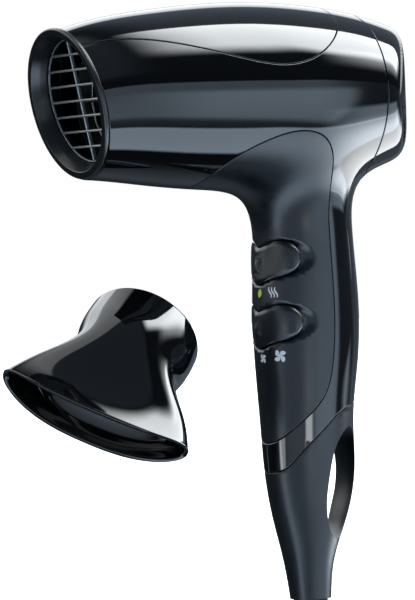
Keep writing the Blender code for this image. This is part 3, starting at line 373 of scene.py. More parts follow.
def side_field(seam, closing):
    """Signed distance in side view to a seam: negative on the side of `closing` points."""
    line = np.array(smooth_path(seam))
    outline = np.vstack([line, closing])

    def field(points):
        p = points[:, (0, 2)]
        a, b = line[:-1], line[1:]
        along = b - a
        share = ((p[:, None] - a) * along).sum(2) / (along ** 2).sum(1)
        nearest = a + np.clip(share, 0, 1)[..., None] * along
        distance = np.sqrt(((p[:, None] - nearest) ** 2).sum(2)).min(1)
        c, d = outline, np.roll(outline, -1, 0)
        crosses = (c[:, 1] > p[:, 1, None]) != (d[:, 1] > p[:, 1, None])
        rise = np.where(d[:, 1] == c[:, 1], 1, d[:, 1] - c[:, 1])
        at = c[:, 0] + (p[:, 1, None] - c[:, 1]) / rise * (d[:, 0] - c[:, 0])
        inside = (crosses & (p[:, 0, None] < at)).sum(1) % 2 == 1
        return np.where(inside, -distance, distance)
    return field


in_top = side_field(TOP_SEAM, ((8.8, 200), (-200, 200), (-200, 118)))
in_grip = side_field(GRIP_SEAM, ((-100, -60), (-100, 50)))
in_end = side_field(END_SEAM, ((60, -31), (60, -200), (-60, -200), (-60, -60)))


def in_rear(points):
    return REAR_SEAM_X - points[:, 0]


def from_barrel_axis(points):
    return np.hypot(points[:, 1], points[:, 2] - BARREL_Z)


def inside(field, gap=GAP / 2):
    return lambda p: field(p) + gap


def outside(field):
    return lambda p: GAP / 2 - field(p)


def side_of(sign):
    return lambda p: GAP / 2 - sign * p[:, 1]


def split_along(bm, field, drop):
    """Cuts the surface along field = 0; with `drop` the side where it is positive goes."""
    verts = list(bm.verts)
    value = dict(zip(verts, field(np.array([v.co for v in verts]))))
    value = {v: 0.0 if abs(g) < 0.02 else g for v, g in value.items()}
    for edge in [e for e in bm.edges if value[e.verts[0]] * value[e.verts[1]] < 0]:
        a, b = edge.verts
        new = bmesh.utils.edge_split(edge, a, value[a] / (value[a] - value[b]))[1]
        value[new] = 0.0
    for face in list(bm.faces):
        on = [v for v in face.verts if value[v] == 0]
        if len(on) == 2 and not any(set(e.verts) == set(on) for e in face.edges):
            bmesh.utils.face_split(face, on[0], on[1])
    if drop:
        gone = [f for f in bm.faces if sum(value[v] for v in f.verts) > 0]
        bmesh.ops.delete(bm, geom=gone, context="FACES")


def skin_piece(surface, fields, form=form_distance, wall=WALL, edge=EDGE_ROUND):
    """A casing wall inside its seams, with rounded seam edges and the form's own normals."""
    bm = surface.copy()
    for field in fields:
        verts = list(bm.verts)
        value = dict(zip(verts, field(np.array([v.co for v in verts]))))
        far = [f for f in bm.faces if min(value[v] for v in f.verts) > 1]
        bmesh.ops.delete(bm, geom=far, context="FACES")
        split_along(bm, field, True)
    for field in fields:
        for back in (0.3 * edge, edge):
            split_along(bm, lambda p: field(p) + back, False)
    lean = bm.verts.layers.float_vector.new("lean")
    verts, faces = list(bm.verts), list(bm.faces)
    rims = [e.link_loops[0] for e in bm.edges if e.is_boundary]
    points = np.array([v.co for v in verts])
    slope = form_slope(points, form)
    values = np.stack([field(points) for field in fields])
    nearest = values.argmax(0)
    out = np.zeros_like(points)
    for i, field in enumerate(fields):
        mine = nearest == i
        if mine.any():
            out[mine] = form_slope(points[mine], field)
    out -= slope * (out * slope).sum(1)[:, None]
    out /= np.maximum(np.sqrt((out ** 2).sum(1)), 1e-6)[:, None]
    near_edge = np.clip(1 + values.max(0) / edge, 0, 1)
    sink = edge * (1 - np.sqrt(1 - near_edge ** 2 * 0.98))
    turn = near_edge[:, None] * 0.95
    normals = slope * np.sqrt(1 - turn ** 2) + out * turn
    inner = {v: bm.verts.new(p) for v, p in zip(verts, points - wall * slope)}
    for v, p, n in zip(verts, points - slope * sink[:, None], normals):
        v.co = p
        v[lean] = n
    for face in faces:
        bm.faces.new([inner[v] for v in reversed(face.verts)])
    for loop in rims:
        a, b = loop.vert, loop.link_loop_next.vert
        bm.faces.new((b, a, inner[a], inner[b]))
    return bm


def without_lean(bm):
    """Drops the stored normals, before the piece is cut by a Boolean."""
    layers = bm.verts.layers.float_vector
    layers.remove(layers["lean"])
    return bm


# ---------------------------------------------------------------- shader sums
class Flow:
    """A shader value that can be used in plain sums."""

    def __init__(self, tree, socket):
        self.tree, self.socket = tree, socket

    def math(self, operation, *others):
        node = self.tree.nodes.new("ShaderNodeMath")
        node.operation = operation
        for spot, value in zip(node.inputs, (self, *others)):
            join(spot, value)
        return Flow(self.tree, node.outputs[0])

    def __add__(self, other):
        return self.math("ADD", other)

    __radd__ = __add__

    def __mul__(self, other):
        return self.math("MULTIPLY", other)

    __rmul__ = __mul__

    def __sub__(self, other):
        return self.math("SUBTRACT", other)

    def __rsub__(self, other):
        return (self * -1).math("ADD", other)


def join(spot, value):
    if isinstance(value, Flow):
        value.tree.links.new(value.socket, spot)
    else:
        spot.default_value = value


class Finish:
    """Nodes of one material or of the world."""

    def __init__(self, tree):
        self.tree = tree

    def node(self, kind, settings=None, output=0, **values):
        """Adds a node: its settings first, then its sockets by name, with _ for a space."""
        made = self.tree.nodes.new("ShaderNode" + kind)
        for name, value in (settings or {}).items():
            if name == "stops":
                ramp = made.color_ramp
                while len(ramp.elements) < len(value):
                    ramp.elements.new(1)
                for element, (place, colour) in zip(ramp.elements, value):
                    element.position, element.color = place, colour
            else:
                setattr(made, name, value)
        for name, value in values.items():
            spots = [s for s in made.inputs if s.enabled and s.name == name.replace("_", " ")]
            join(spots[0], value)
        spot = made.outputs[output] if isinstance(output, int) else \
            [s for s in made.outputs if s.enabled and s.name == output][0]
        return Flow(self.tree, spot)

    def place(self):
        return self.node("TexCoord", output="Object")

    def noise(self, where, scale, detail, rough=0.5):
        return self.node("TexNoise", output="Fac", Vector=where, Scale=scale, Detail=detail,
                         Roughness=rough)

    def spread(self, value, low, high, to_low, to_high, soft=False):
        kind = {"interpolation_type": "SMOOTHSTEP"} if soft else {}
        return self.node("MapRange", kind, output="Result", Value=value, From_Min=low,
                         From_Max=high, To_Min=to_low, To_Max=to_high)

    def tint(self, share, a, b):
        return self.node("Mix", {"data_type": "RGBA"}, output="Result", Factor=share,
                         A=(*a, 1), B=(*b, 1))


GRAIN_DEPTH = 0.0001         # metres


def finish(name, colour_a, colour_b, rough, metal=0.0, colour_scale=400.0, rough_spread=0.04,
           bump=0.0, bump_scale=2000.0, ior=1.5, specular=0.5):
    """A moulded or metal finish: two close tones, uneven gloss and a fine grain."""
    made = bpy.data.materials.new(name)
    made.use_nodes = True
    made.node_tree.nodes.clear()
    f = Finish(made.node_tree)
    where = f.place()
    cloud = f.noise(where, colour_scale, 2.0)
    grain = f.noise(where, bump_scale, 3.0, 0.6)
    shader = f.node("BsdfPrincipled", output="BSDF", Base_Color=f.tint(cloud, colour_a, colour_b),
                    Metallic=metal, IOR=ior, Specular_IOR_Level=specular,
                    Roughness=f.spread(cloud * 0.7 + grain * 0.3, 0.3, 0.7, rough - rough_spread,
                                       rough + rough_spread))
    if bump:
        grain_normal = f.node("Bump", output="Normal", Strength=bump, Distance=GRAIN_DEPTH,
                              Height=grain)
        join(shader.socket.node.inputs["Normal"], grain_normal)
    out = made.node_tree.nodes.new("ShaderNodeOutputMaterial")
    made.node_tree.links.new(shader.socket, out.inputs["Surface"])
    return made


GLOSS = finish("piano_black", (0.0016, 0.0019, 0.0026), (0.0024, 0.0028, 0.0036), 0.045,
               colour_scale=60, rough_spread=0.012, bump=0.03, bump_scale=300, ior=1.52)
SATIN = finish("satin_blue_black", (0.0028, 0.0058, 0.0095), (0.0036, 0.0070, 0.0110), 0.33,
               colour_scale=250, bump=0.10, bump_scale=4200, ior=1.5, specular=0.45)
LIP_SATIN = finish("ring_satin", (0.0030, 0.0045, 0.0060), (0.0040, 0.0055, 0.0072), 0.30,
                   colour_scale=250, bump=0.10, bump_scale=4200, ior=1.45)
SILVER = finish("grille_silver", (0.24, 0.25, 0.26), (0.31, 0.32, 0.33), 0.36, metal=0.6,
                colour_scale=500, bump=0.15, bump_scale=2500)
STEEL = finish("plain_steel", (0.42, 0.42, 0.43), (0.52, 0.52, 0.53), 0.32, metal=1.0, bump=0.1)
# Painted shade: the mica is coloured near black, much darker than its own tone, so the heater
# board deep in the barrel looks shaded.
MICA_PAINTED_SHADE = finish("mica_sheet_painted_shade", (0.014, 0.012, 0.009), (0.026, 0.022, 0.016), 0.6, colour_scale=300,
              bump=0.4, bump_scale=700)
WIRE = finish("heater_wire", (0.30, 0.29, 0.28), (0.42, 0.40, 0.38), 0.4, metal=0.9)
NYLON = finish("grey_nylon", (0.05, 0.052, 0.055), (0.065, 0.067, 0.07), 0.5, bump=0.2)
BLACK_NYLON = finish("black_nylon", (0.012, 0.012, 0.013), (0.018, 0.018, 0.019), 0.5, bump=0.2)
BOARD = finish("board_green", (0.05, 0.12, 0.05), (0.08, 0.17, 0.07), 0.5, bump=0.1)
RUBBER = finish("black_rubber", (0.010, 0.010, 0.011), (0.016, 0.016, 0.017), 0.65, bump=0.4,
                bump_scale=1500)
SLEEVING = finish("glass_sleeving", (0.55, 0.54, 0.50), (0.68, 0.67, 0.62), 0.6, bump=0.4,
                  bump_scale=2500)
WHITE_PRINT = finish("white_print", (0.50, 0.52, 0.54), (0.58, 0.60, 0.62), 0.45)
GREEN_PRINT = finish("green_print", (0.34, 0.46, 0.05), (0.42, 0.54, 0.08), 0.45)

CAD_FINISH = {
    "steel": STEEL, "mica": MICA_PAINTED_SHADE, "nichrome": WIRE, "nylon_grey": NYLON,
    "nylon_black": BLACK_NYLON, "circuit_board": BOARD, "black_rubber": RUBBER,
    "lead_sleeving": SLEEVING, "gloss_black": GLOSS, "soft_matte_black": SATIN,
    "grille_silver": SILVER}
for part in frame["record"]["subparts"]:
    mesh = NODES[part["node"]].data
    mesh.materials.clear()
    mesh.materials.append(CAD_FINISH[part["material_slot"]])


# ---------------------------------------------------------------- making pieces
def put(name, bm, look, body="casing", stands_for=(), sharp=35.0):
    """Turns a bmesh in millimetres into a piece that rides on a body."""
    bmesh.ops.scale(bm, verts=bm.verts, vec=(MM, MM, MM))
    mesh = bpy.data.meshes.new(name)
    bm.to_mesh(mesh)
    bm.free()
    made = bpy.data.objects.new(name, mesh)
    bpy.context.scene.collection.objects.link(made)
    mesh.materials.append(look)
    mesh.shade_smooth()
    mesh.set_sharp_from_angle(angle=radians(sharp))
    lean = mesh.attributes.get("lean")
    if lean:
        normals = np.zeros(len(mesh.vertices) * 3, np.float32)
        lean.data.foreach_get("vector", normals)
        mesh.attributes.remove(lean)
        mesh.normals_split_custom_set_from_vertices(normals.reshape(-1, 3).tolist())
    around = mesh.attributes.get("around")
    if around:
        mesh.attributes.remove(around)
    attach(made, body)
    if stands_for:
        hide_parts(*stands_for)
    return made


def scratch(name, bm):
    """A throwaway object for a Boolean."""
    mesh = bpy.data.meshes.new(name)
    bm.to_mesh(mesh)
    bm.free()
    made = bpy.data.objects.new(name, mesh)
    bpy.context.scene.collection.objects.link(made)
    return made


def boolean(bm, other, operation):
    """Boolean of two bmeshes, which are used up; returns the result."""
    made, tool = scratch("made", bm), scratch("tool", other)
    step = made.modifiers.new("step", "BOOLEAN")
    step.operation, step.object, step.solver = operation, tool, "EXACT"
    graph = bpy.context.evaluated_depsgraph_get()
    result = bmesh.new()
    result.from_mesh(made.evaluated_get(graph).to_mesh())
    for o in (made, tool):
        bpy.data.objects.remove(o)
    return result


def turned(profile, steps=96, bevel=0.0):
    """Spins a closed (radius, along) profile round Z; `bevel` rounds its corners."""
    bm = bmesh.new()
    verts = [bm.verts.new((r, 0, a)) for r, a in profile]
    ring = [bm.edges.new((verts[i], verts[(i + 1) % len(verts)])) for i in range(len(verts))]
    if bevel:
        bmesh.ops.bevel(bm, geom=verts, offset=bevel, affect="VERTICES", segments=4, profile=0.5,
                        material=-1)
    bmesh.ops.spin(bm, geom=bm.verts[:] + bm.edges[:], cent=(0, 0, 0), axis=(0, 0, 1),
                   angle=2 * pi, steps=steps, use_merge=True)
    bmesh.ops.remove_doubles(bm, verts=bm.verts, dist=1e-4)
    bmesh.ops.recalc_face_normals(bm, faces=bm.faces)
    return bm


def moved(bm, matrix):
    bmesh.ops.transform(bm, matrix=matrix, verts=bm.verts)
    return bm


def block(xs, ys, zs, bevel=0.0):
    bm = bmesh.new()
    bmesh.ops.create_cube(bm, size=1)
    bmesh.ops.scale(bm, verts=bm.verts, vec=(xs[1] - xs[0], ys[1] - ys[0], zs[1] - zs[0]))
    bmesh.ops.translate(bm, verts=bm.verts,
                        vec=((xs[0] + xs[1]) / 2, (ys[0] + ys[1]) / 2, (zs[0] + zs[1]) / 2))
    if bevel:
        bmesh.ops.bevel(bm, geom=bm.edges[:], offset=bevel, affect="EDGES", segments=3,
                        profile=0.5, material=-1)
    return bm


def add(bm, other):
    """Puts another bmesh's pieces into this one."""
    mesh = bpy.data.meshes.new("other")
    other.to_mesh(mesh)
    other.free()
    bm.from_mesh(mesh)
    bpy.data.meshes.remove(mesh)
    return bm


# ---------------------------------------------------------------- casing
surface = settle(casing_surface(SKIN_CUTS))
around_it = (outside(in_top), outside(in_grip), outside(in_end), outside(in_rear))
for side, sign in (("left", 1), ("right", -1)):
    put(f"casing_{side}", skin_piece(surface, (*around_it, side_of(sign))), GLOSS,
        stands_for=(f"housing_{side}",))
put("top_cover", skin_piece(surface, (inside(in_top),)), GLOSS,
    stands_for=("barrel_top_cover",))
cap_fields = (inside(in_rear, GAP),
              lambda p: np.where(p[:, 0] > REAR_HALF_X, INTAKE_R - from_barrel_axis(p), -9))
put("rear_rim", skin_piece(surface, cap_fields), GLOSS, stands_for=("rear_cap",))


GRIP_X, GRIP_Z = (-70, 12), (-62, 90)    # the grip cover lies between these
STEM_OPENING = 2.4           # how far inside a rocker's outline its stem's opening starts
GRILLE_WALL = 1.6
SLOT_RIM, SLOT_RIB, SLOT_ROUND = 3.4, 1, 1.2     # rim left round, rib beside, corner of the slots


def under_rocker(points):
    """Negative outside the openings that the rockers' stems pass through."""
    depth = [outline_depth(*rocker_place(points, level), ROCKER_WING, ROCKER_HALF, 5)
             for level in ROCKERS.values()]
    return np.max(depth, 0) - STEM_OPENING


grip_surface = casing_surface(GRIP_CUTS)
away = [v for v in grip_surface.verts
        if not (GRIP_X[0] <= v.co.x <= GRIP_X[1] and GRIP_Z[0] <= v.co.z <= GRIP_Z[1])]
bmesh.ops.delete(grip_surface, geom=away, context="VERTS")
lay_on(grip_surface, grip_distance)
put("grip_cover", skin_piece(grip_surface, (inside(in_grip), under_rocker), grip_distance), SATIN,
    stands_for=("handle_cover",))

rear = without_lean(skin_piece(
    surface, (lambda p: REAR_HALF_X - p[:, 0], lambda p: from_barrel_axis(p) - INTAKE_R + GAP),
    wall=GRILLE_WALL))
slots = bmesh.new()
for k in range(SLOTS):
    z = (k - (SLOTS - 1) / 2) * SLOT_PITCH
    half = ((INTAKE_R - SLOT_RIM) ** 2 - z ** 2) ** 0.5
    zs = (BARREL_Z + z - SLOT_HIGH / 2, BARREL_Z + z + SLOT_HIGH / 2)
    for ys in ((-half, -SLOT_RIB), (SLOT_RIB, half)):
        slot_bm = block((REAR_HALF_X, 60), ys, zs)
        along = [e for e in slot_bm.edges if abs(e.verts[0].co.x - e.verts[1].co.x) > 1]
        bmesh.ops.bevel(slot_bm, geom=along, offset=SLOT_ROUND, affect="EDGES", segments=5,
                        profile=0.5, material=-1)
        add(slots, slot_bm)
put("intake_grille", boolean(rear, slots, "DIFFERENCE"), SATIN, stands_for=("rear_grille",))


# ---------------------------------------------------------------- handle end
CORE_TOP_Z = -22             # the core is cut from the skin below this
CORE_DROP = 3.2              # how far below the seam the solid core starts
LOOP_REACH = 20              # the loop's opening is cut out to this far on each side
FLARE_START, FLARE_POWER = 1.5, 1.25     # how early and how gently its flare begins


def solid_core():
    """Solid inside of the handle's end, a little below its seam."""
    bm = surface.copy()
    split_along(bm, lambda p: p[:, 2] - CORE_TOP_Z, True)
    verts = list(bm.verts)
    slope = form_slope(np.array([v.co for v in verts]))
    for v, way in zip(verts, slope):
        v.co -= Vector(way) * WALL / 2
        v.co.z = max(v.co.z, HANDLE_Z[0] + 1)
    bmesh.ops.edgeloop_fill(bm, edges=[e for e in bm.edges if e.is_boundary])
    bmesh.ops.recalc_face_normals(bm, faces=bm.faces)
    seam = [(x, z - CORE_DROP) for x, z in smooth_path(END_SEAM)]
    return boolean(bm, prism(seam + [(60, -200), (-60, -200)], (-40, 40)), "INTERSECT")


def prism(outline, ys):
    bm = bmesh.new()
    face = bm.faces.new([bm.verts.new((x, ys[0], z)) for x, z in outline])
    drawn = bmesh.ops.extrude_face_region(bm, geom=[face])
    points = [g for g in drawn["geom"] if isinstance(g, bmesh.types.BMVert)]
    bmesh.ops.translate(bm, verts=points, vec=(0, ys[1] - ys[0], 0))
    bmesh.ops.recalc_face_normals(bm, faces=bm.faces)
    return bm


def loop_opening():
    """The hang loop's hole, drawn through the handle and flared towards both sides."""
    bm = bmesh.new()
    around = bm.verts.layers.int.new("around")
    path = smooth_path(LOOP, 6, closed=True)
    front = min(x for x, _ in path)

    def station(y, flare):
        return lambda k: (front + (path[k][0] - front) * flare, y, path[k][1])
    ring = first_ring(bm, len(path), around, station(-LOOP_REACH, LOOP_FLARE))
    bmesh.ops.edgeloop_fill(bm, edges=ring)
    for y in np.linspace(-STRAP_HALF - 3, STRAP_HALF + 3, 13):
        beyond = max(abs(y) - STRAP_HALF + FLARE_START, 0) / (LOOP_REACH - STRAP_HALF)
        flare = 1 + (LOOP_FLARE - 1) * beyond ** FLARE_POWER
        ring = draw_ring(bm, ring, around, station(float(y), flare))
    ring = draw_ring(bm, ring, around, station(LOOP_REACH, LOOP_FLARE))
    bmesh.ops.edgeloop_fill(bm, edges=ring)
    bmesh.ops.recalc_face_normals(bm, faces=bm.faces)
    return bm


def inlet_centre():
    z = HANDLE_Z[0]
    return Vector(((float(handle_front(z)) + float(handle_rear(z))) / 2, 0, z))


INLET_OVERCUT = 5            # how far the inlet's cutter stands out below the handle
GLAND_BORE = CORD_R + 0.2
GLAND_LEDGE, GLAND_CHAMFER = 2.0, 0.6    # how far the gland's head overlaps, and its rounded end

end = without_lean(skin_piece(surface, (inside(in_end),)))
end = boolean(end, solid_core(), "UNION")
end = boolean(end, loop_opening(), "DIFFERENCE")
inlet = bmesh.new()
bmesh.ops.create_cone(inlet, cap_ends=True, segments=64, radius1=INLET_R, radius2=INLET_R,
                      depth=INLET_DEPTH + INLET_OVERCUT)
moved(inlet, Matrix.Translation(inlet_centre()
                                + Vector((0, 0, (INLET_DEPTH - INLET_OVERCUT) / 2))))
end = boolean(end, inlet, "DIFFERENCE")
put("loop_end", end, SATIN, stands_for=("handle_end",), sharp=30)

plug = INLET_R - GAP
gland = turned(((GLAND_BORE, INLET_DEPTH - GAP), (GLAND_BORE, -GLAND_HEAD),
                (plug + GLAND_LEDGE - GLAND_CHAMFER, -GLAND_HEAD),
                (plug + GLAND_LEDGE, -GLAND_HEAD + 1), (plug + GLAND_LEDGE, -GAP),
                (plug, -GAP), (plug, INLET_DEPTH - GAP)), bevel=0.25)
put("cord_grommet", moved(gland, Matrix.Translation(inlet_centre())), RUBBER,
    stands_for=("cord_gland",))


# ---------------------------------------------------------------- rockers
def reach_out(angle, z, form):
    """Distance from the pin's axis out to a form, for arrays of angles and heights."""
    near, far = np.full(len(angle), 2.0), np.full(len(angle), 40.0)
    for _ in range(36):
        middle = (near + far) / 2
        spot = np.stack([PIN_X - middle * np.cos(angle), middle * np.sin(angle), z], 1)
        within = form(spot) < 0
        near, far = np.where(within, middle, near), np.where(within, far, middle)
    return near


RIM_STEPS = (1, 0.996, 0.985, 0.97, 0.95, 0.92, 0.885, 0.84, 0.79, 0.73, 0.66, 0.58, 0.5, 0.42,
             0.34, 0.27, 0.2, 0.14, 0.08, 0.03)
CAP_AROUND = 160
RIM_ROUNDING = 1.7
RIM_CLEAR = 0.8              # the cap clears its hollow by this much wherever it is turned
SWING = (-0.125, -0.06, 0, 0.06, 0.125)      # turns at which that is looked at, in radians
WEB_FRONT = -18.5            # where the stem ends inside the cap
HUB_R, HUB_HIGH = 3.4, 16.4
PRONG_IN, PRONG_OUT, PRONG_REACH = 1.6, 3.2, 7.4     # the fork that holds the switch's slider


def rocker_cap(level):
    """The cap: a pillow over its hollow, with a ridge in the middle and a flat underside."""
    bm = bmesh.new()
    around = bm.verts.layers.int.new("around")

    def unit(share):
        def place(k):
            t = 2 * pi * k / CAP_AROUND
            c, s = cos(t), sin(t)
            return share * (1 if c > 0 else -1) * abs(c) ** 0.4, share * s, 0
        return place
    outer = first_ring(bm, CAP_AROUND, around, unit(1))
    for below in (False, True):
        ring = outer
        for share in RIM_STEPS[1:]:
            ring = draw_ring(bm, ring, around, unit(share))
            for v in {v for e in ring for v in e.verts}:
                v.co.z = -1 if below else 1
        bmesh.ops.contextual_create(bm, geom=ring)
    verts = list(bm.verts)
    p = np.array([v.co for v in verts])
    angle, up = p[:, 0] * ROCKER_WING, p[:, 1]
    z = np.full(len(p), level)
    for _ in range(3):
        y = reach_out(angle, z, form_distance) * np.sin(angle)
        z = level + 1.0 - ROCKER_SMILE * np.exp(-(y / 7.0) ** 2) + up * ROCKER_HALF
    skin = reach_out(angle, z, form_distance)
    floor = np.max([reach_out(angle + turn, z, grip_distance) for turn in SWING], 0) + RIM_CLEAR
    share = np.abs(p[:, 0])
    swell = (0.35 + 1.75 * np.exp(-(share / 0.10) ** 2)
             - 0.35 * np.exp(-((share - 0.3) / 0.2) ** 2)
             + 1.35 * np.exp(-((share - 0.80) / 0.20) ** 2)) * (1 - 0.3 * up ** 2)
    inside_by = np.maximum(outline_depth(share, up, 1, 1, 5) * ROCKER_HALF, 0)
    rise = np.sqrt(1 - (1 - np.clip(inside_by / RIM_ROUNDING, 0, 1)) ** 2)
    radius = np.where(p[:, 2] > 0, floor + (skin + swell - floor) * rise, floor)
    for v, r, a, h in zip(verts, radius, angle, z):
        v.co = (PIN_X - r * cos(a), r * sin(a), h)
    bmesh.ops.recalc_face_normals(bm, faces=bm.faces)
    return bm


for which, level in ROCKERS.items():
    put(f"{which}_rocker_cap", rocker_cap(level), SATIN, f"{which}_rocker", sharp=60)
    web = block((WEB_FRONT, PIN_X), (-1.5, 1.5), (level - 4, level + 3), 0.3)
    hub = bmesh.new()
    bmesh.ops.create_cone(hub, cap_ends=True, segments=48, radius1=HUB_R, radius2=HUB_R,
                          depth=HUB_HIGH)
    moved(hub, Matrix.Translation((PIN_X, 0, level)))
    add(web, hub)
    for way in (-1, 1):
        prong = sorted((way * PRONG_IN, way * PRONG_OUT))
        add(web, block((PIN_X + 1, PIN_X + PRONG_REACH), prong, (level - 2, level + 2), 0.2))
    put(f"{which}_rocker_stem", web, SATIN, f"{which}_rocker",
        stands_for=(f"{which}_rocker",))


# ---------------------------------------------------------------- outlet
FACE_STRETCH = 1.018         # the slanted face is this much taller than it is wide


def outlet_frame():
    """Matrix from outlet coordinates: z runs inwards, x points up the slanted face."""
    inward = Vector((1, 0, OUTLET_SLANT)).normalized()
    up = Vector((-OUTLET_SLANT, 0, 1)).normalized()
    centre = Vector((OUTLET_X, 0, float(axis_height(OUTLET_X))))
    turn = Matrix((up, inward.cross(up), inward)).transposed().to_4x4()
    return Matrix.Translation(centre) @ turn @ Matrix.Scale(FACE_STRETCH, 4, (1, 0, 0))


outer = float(barrel_radius(OUTLET_X)) + 0.05
spigot = outer - WALL - 1.6
ring = turned(((28.0, 0), (outer - 0.5, 0), (outer, 0.5), (outer, LIP), (spigot, LIP),
               (26.6, 10), (25.6, 10), (25.6, 6.3), (26.5, 3.5)), steps=144, bevel=0.22)
put("outlet_rim", moved(ring, outlet_frame()), LIP_SATIN, stands_for=("outlet_ring",),
    sharp=40)

BARS, BAR_PITCH, BAR_WIDTH, BAR_ROUND = 7, 6.3, 0.95, 0.45
BAR_DEPTH, RIB_DEPTH, HOOP_DEPTH = (6.6, 8.4), (6.75, 8.5), (6.9, 7.8)   # behind the outlet's face
GRILLE_R, HOOP_WALL, BAR_REACH = 25.3, 0.45, 24.9    # the hoop, and how far out the bars run
hoop_in = GRILLE_R - HOOP_WALL
grille = turned(((hoop_in, HOOP_DEPTH[0]), (GRILLE_R, HOOP_DEPTH[0]), (GRILLE_R, HOOP_DEPTH[1]),
                 (hoop_in, HOOP_DEPTH[1])), bevel=0.15)
for k in range(BARS):
    level = (k - (BARS - 1) / 2) * BAR_PITCH
    reach = (BAR_REACH ** 2 - level ** 2) ** 0.5
    add(grille, block((level - BAR_WIDTH / 2, level + BAR_WIDTH / 2), (-reach, reach), BAR_DEPTH,
                      BAR_ROUND))
add(grille, block((-BAR_REACH, BAR_REACH), (-BAR_WIDTH / 2, BAR_WIDTH / 2), RIB_DEPTH, BAR_ROUND))
put("air_grille", moved(grille, outlet_frame()), SILVER, stands_for=("outlet_grille",))


# ---------------------------------------------------------------- nozzle
nozzle_wide = smooth_curve((0, COLLAR_LENGTH, *(share * NOZZLE_LENGTH for share, _ in WAIST),
                            NOZZLE_LENGTH),
                           (COLLAR_R, COLLAR_R, *(COLLAR_R + more for _, more in WAIST),
                            MOUTH_HALF_W))


def towards_mouth(s):
    """0 along the collar, easing to 1 at the mouth."""
    share = min(max(s - COLLAR_LENGTH, 0) / (NOZZLE_LENGTH - COLLAR_LENGTH), 1)
    return share ** 3 * (10 - 15 * share + 6 * share ** 2)


def squared(value, power):
    """A cosine or sine of a circle made into that of a squarer curve."""
    return (abs(value) ** (2 / power)) * (1 if value > 0 else -1)


NOZZLE_AROUND, NOZZLE_ROWS = 144, 60
# The mouth's rounded edge from outside to inside, as (inside the outer face, beyond the length)
MOUTH_EDGE = ((0, -0.5), (0.12, -0.12), (0.5, 0), (1.3, 0), (1.68, -0.12), (NOZZLE_WALL, -0.5))


def nozzle_place(s, shrink=0.0, push=0.0):
    """A ring of the nozzle at `s` from its collar's end, `shrink` inside its outer face."""
    along = towards_mouth(s)
    wide = float(nozzle_wide(s)) - shrink
    thick = COLLAR_R + (MOUTH_HALF_T - COLLAR_R) * along - shrink
    power = 2 + (MOUTH_POWER - 2) * along

    def place(k):
        t = 2 * pi * k / NOZZLE_AROUND
        bulge = NOZZLE_BULGE * sin(t) ** 2 * (s / NOZZLE_LENGTH) ** 2
        return wide * squared(cos(t), power), thick * squared(sin(t), power), s + bulge + push
    return place


rows = [NOZZLE_LENGTH * k / NOZZLE_ROWS for k in range(1, NOZZLE_ROWS)]
nozzle = bmesh.new()
around = nozzle.verts.layers.int.new("around")
ring = start = first_ring(nozzle, NOZZLE_AROUND, around, nozzle_place(0, 0.5))
route = [(0.15, 0.15, 0), (0.5, 0, 0)]
route += [(s, 0, 0) for s in rows]
route += [(NOZZLE_LENGTH, shrink, push) for shrink, push in MOUTH_EDGE]
route += [(s, NOZZLE_WALL, 0) for s in rows[::-1]]
route += [(0.5, NOZZLE_WALL, 0), (0, NOZZLE_WALL - 0.5, 0)]
for station in route:
    ring = draw_ring(nozzle, ring, around, nozzle_place(*station))
bmesh.ops.bridge_loops(nozzle, edges=start + ring)
bmesh.ops.recalc_face_normals(nozzle, faces=nozzle.faces)
wide_way = (NOZZLE_WIDE - NOZZLE_WIDE.dot(NOZZLE_WAY) * NOZZLE_WAY).normalized()
turn = Matrix((wide_way, NOZZLE_WAY.cross(wide_way), NOZZLE_WAY)).transposed().to_4x4()
put("air_nozzle", moved(nozzle, Matrix.Translation(NOZZLE_PLACE) @ turn), GLOSS, "nozzle",
    stands_for=("concentrator_nozzle",), sharp=60)


# ---------------------------------------------------------------- printed icons
PRINT_PROUD, PRINT_THICK = 0.05, 0.03
WAVE_STEPS, WAVE_SWAY, WAVE_LEAN, WAVE_HALF, WAVE_WIDTH = 12, 0.45, 0.07, 2.2, 0.62
BLADES, BLADE_STEPS, BLADE_TURN = 4, 8, 0.6
LEAF_STEPS = 8


def printed(name, outlines, centre, look, turn=0.0):
    """Thin printed shapes, given flat as (across, up), laid on the grip at `centre`."""
    way = form_slope(np.array([centre], float))[0]
    across = Vector((-way[1], way[0], 0)).normalized()
    up = Vector(way).cross(across)
    up = up if up.z > 0 else -up
    across = up.cross(Vector(way))
    bm = bmesh.new()
    for outline in outlines:
        face = bm.faces.new([bm.verts.new((a, b, 0)) for a, b in outline])
        bmesh.ops.triangulate(bm, faces=[face])
    bmesh.ops.subdivide_edges(bm, edges=bm.edges, cuts=1, use_grid_fill=True)
    bmesh.ops.recalc_face_normals(bm, faces=bm.faces)
    verts = list(bm.verts)
    flat = Matrix.Rotation(turn, 3, "Z")
    spots = [Vector(centre) + across * q.x + up * q.y for q in (flat @ v.co for v in verts)]
    spots = onto(spots, grip_distance)
    lean = form_slope(spots, grip_distance)
    for v, p, n in zip(verts, spots, lean):
        v.co = Vector(p) + Vector(n) * PRINT_PROUD
    top = bm.faces[:]
    for f in top:
        f.normal_update()
    if sum(f.normal.dot(Vector(way)) for f in top) < 0:
        bmesh.ops.reverse_faces(bm, faces=top)
    drawn = bmesh.ops.extrude_face_region(bm, geom=top, use_keep_orig=True)["geom"]
    fresh = [g for g in drawn if isinstance(g, bmesh.types.BMVert)]
    bmesh.ops.translate(bm, verts=fresh, vec=Vector(way) * PRINT_THICK)
    bmesh.ops.recalc_face_normals(bm, faces=bm.faces)
    put(name, bm, look)


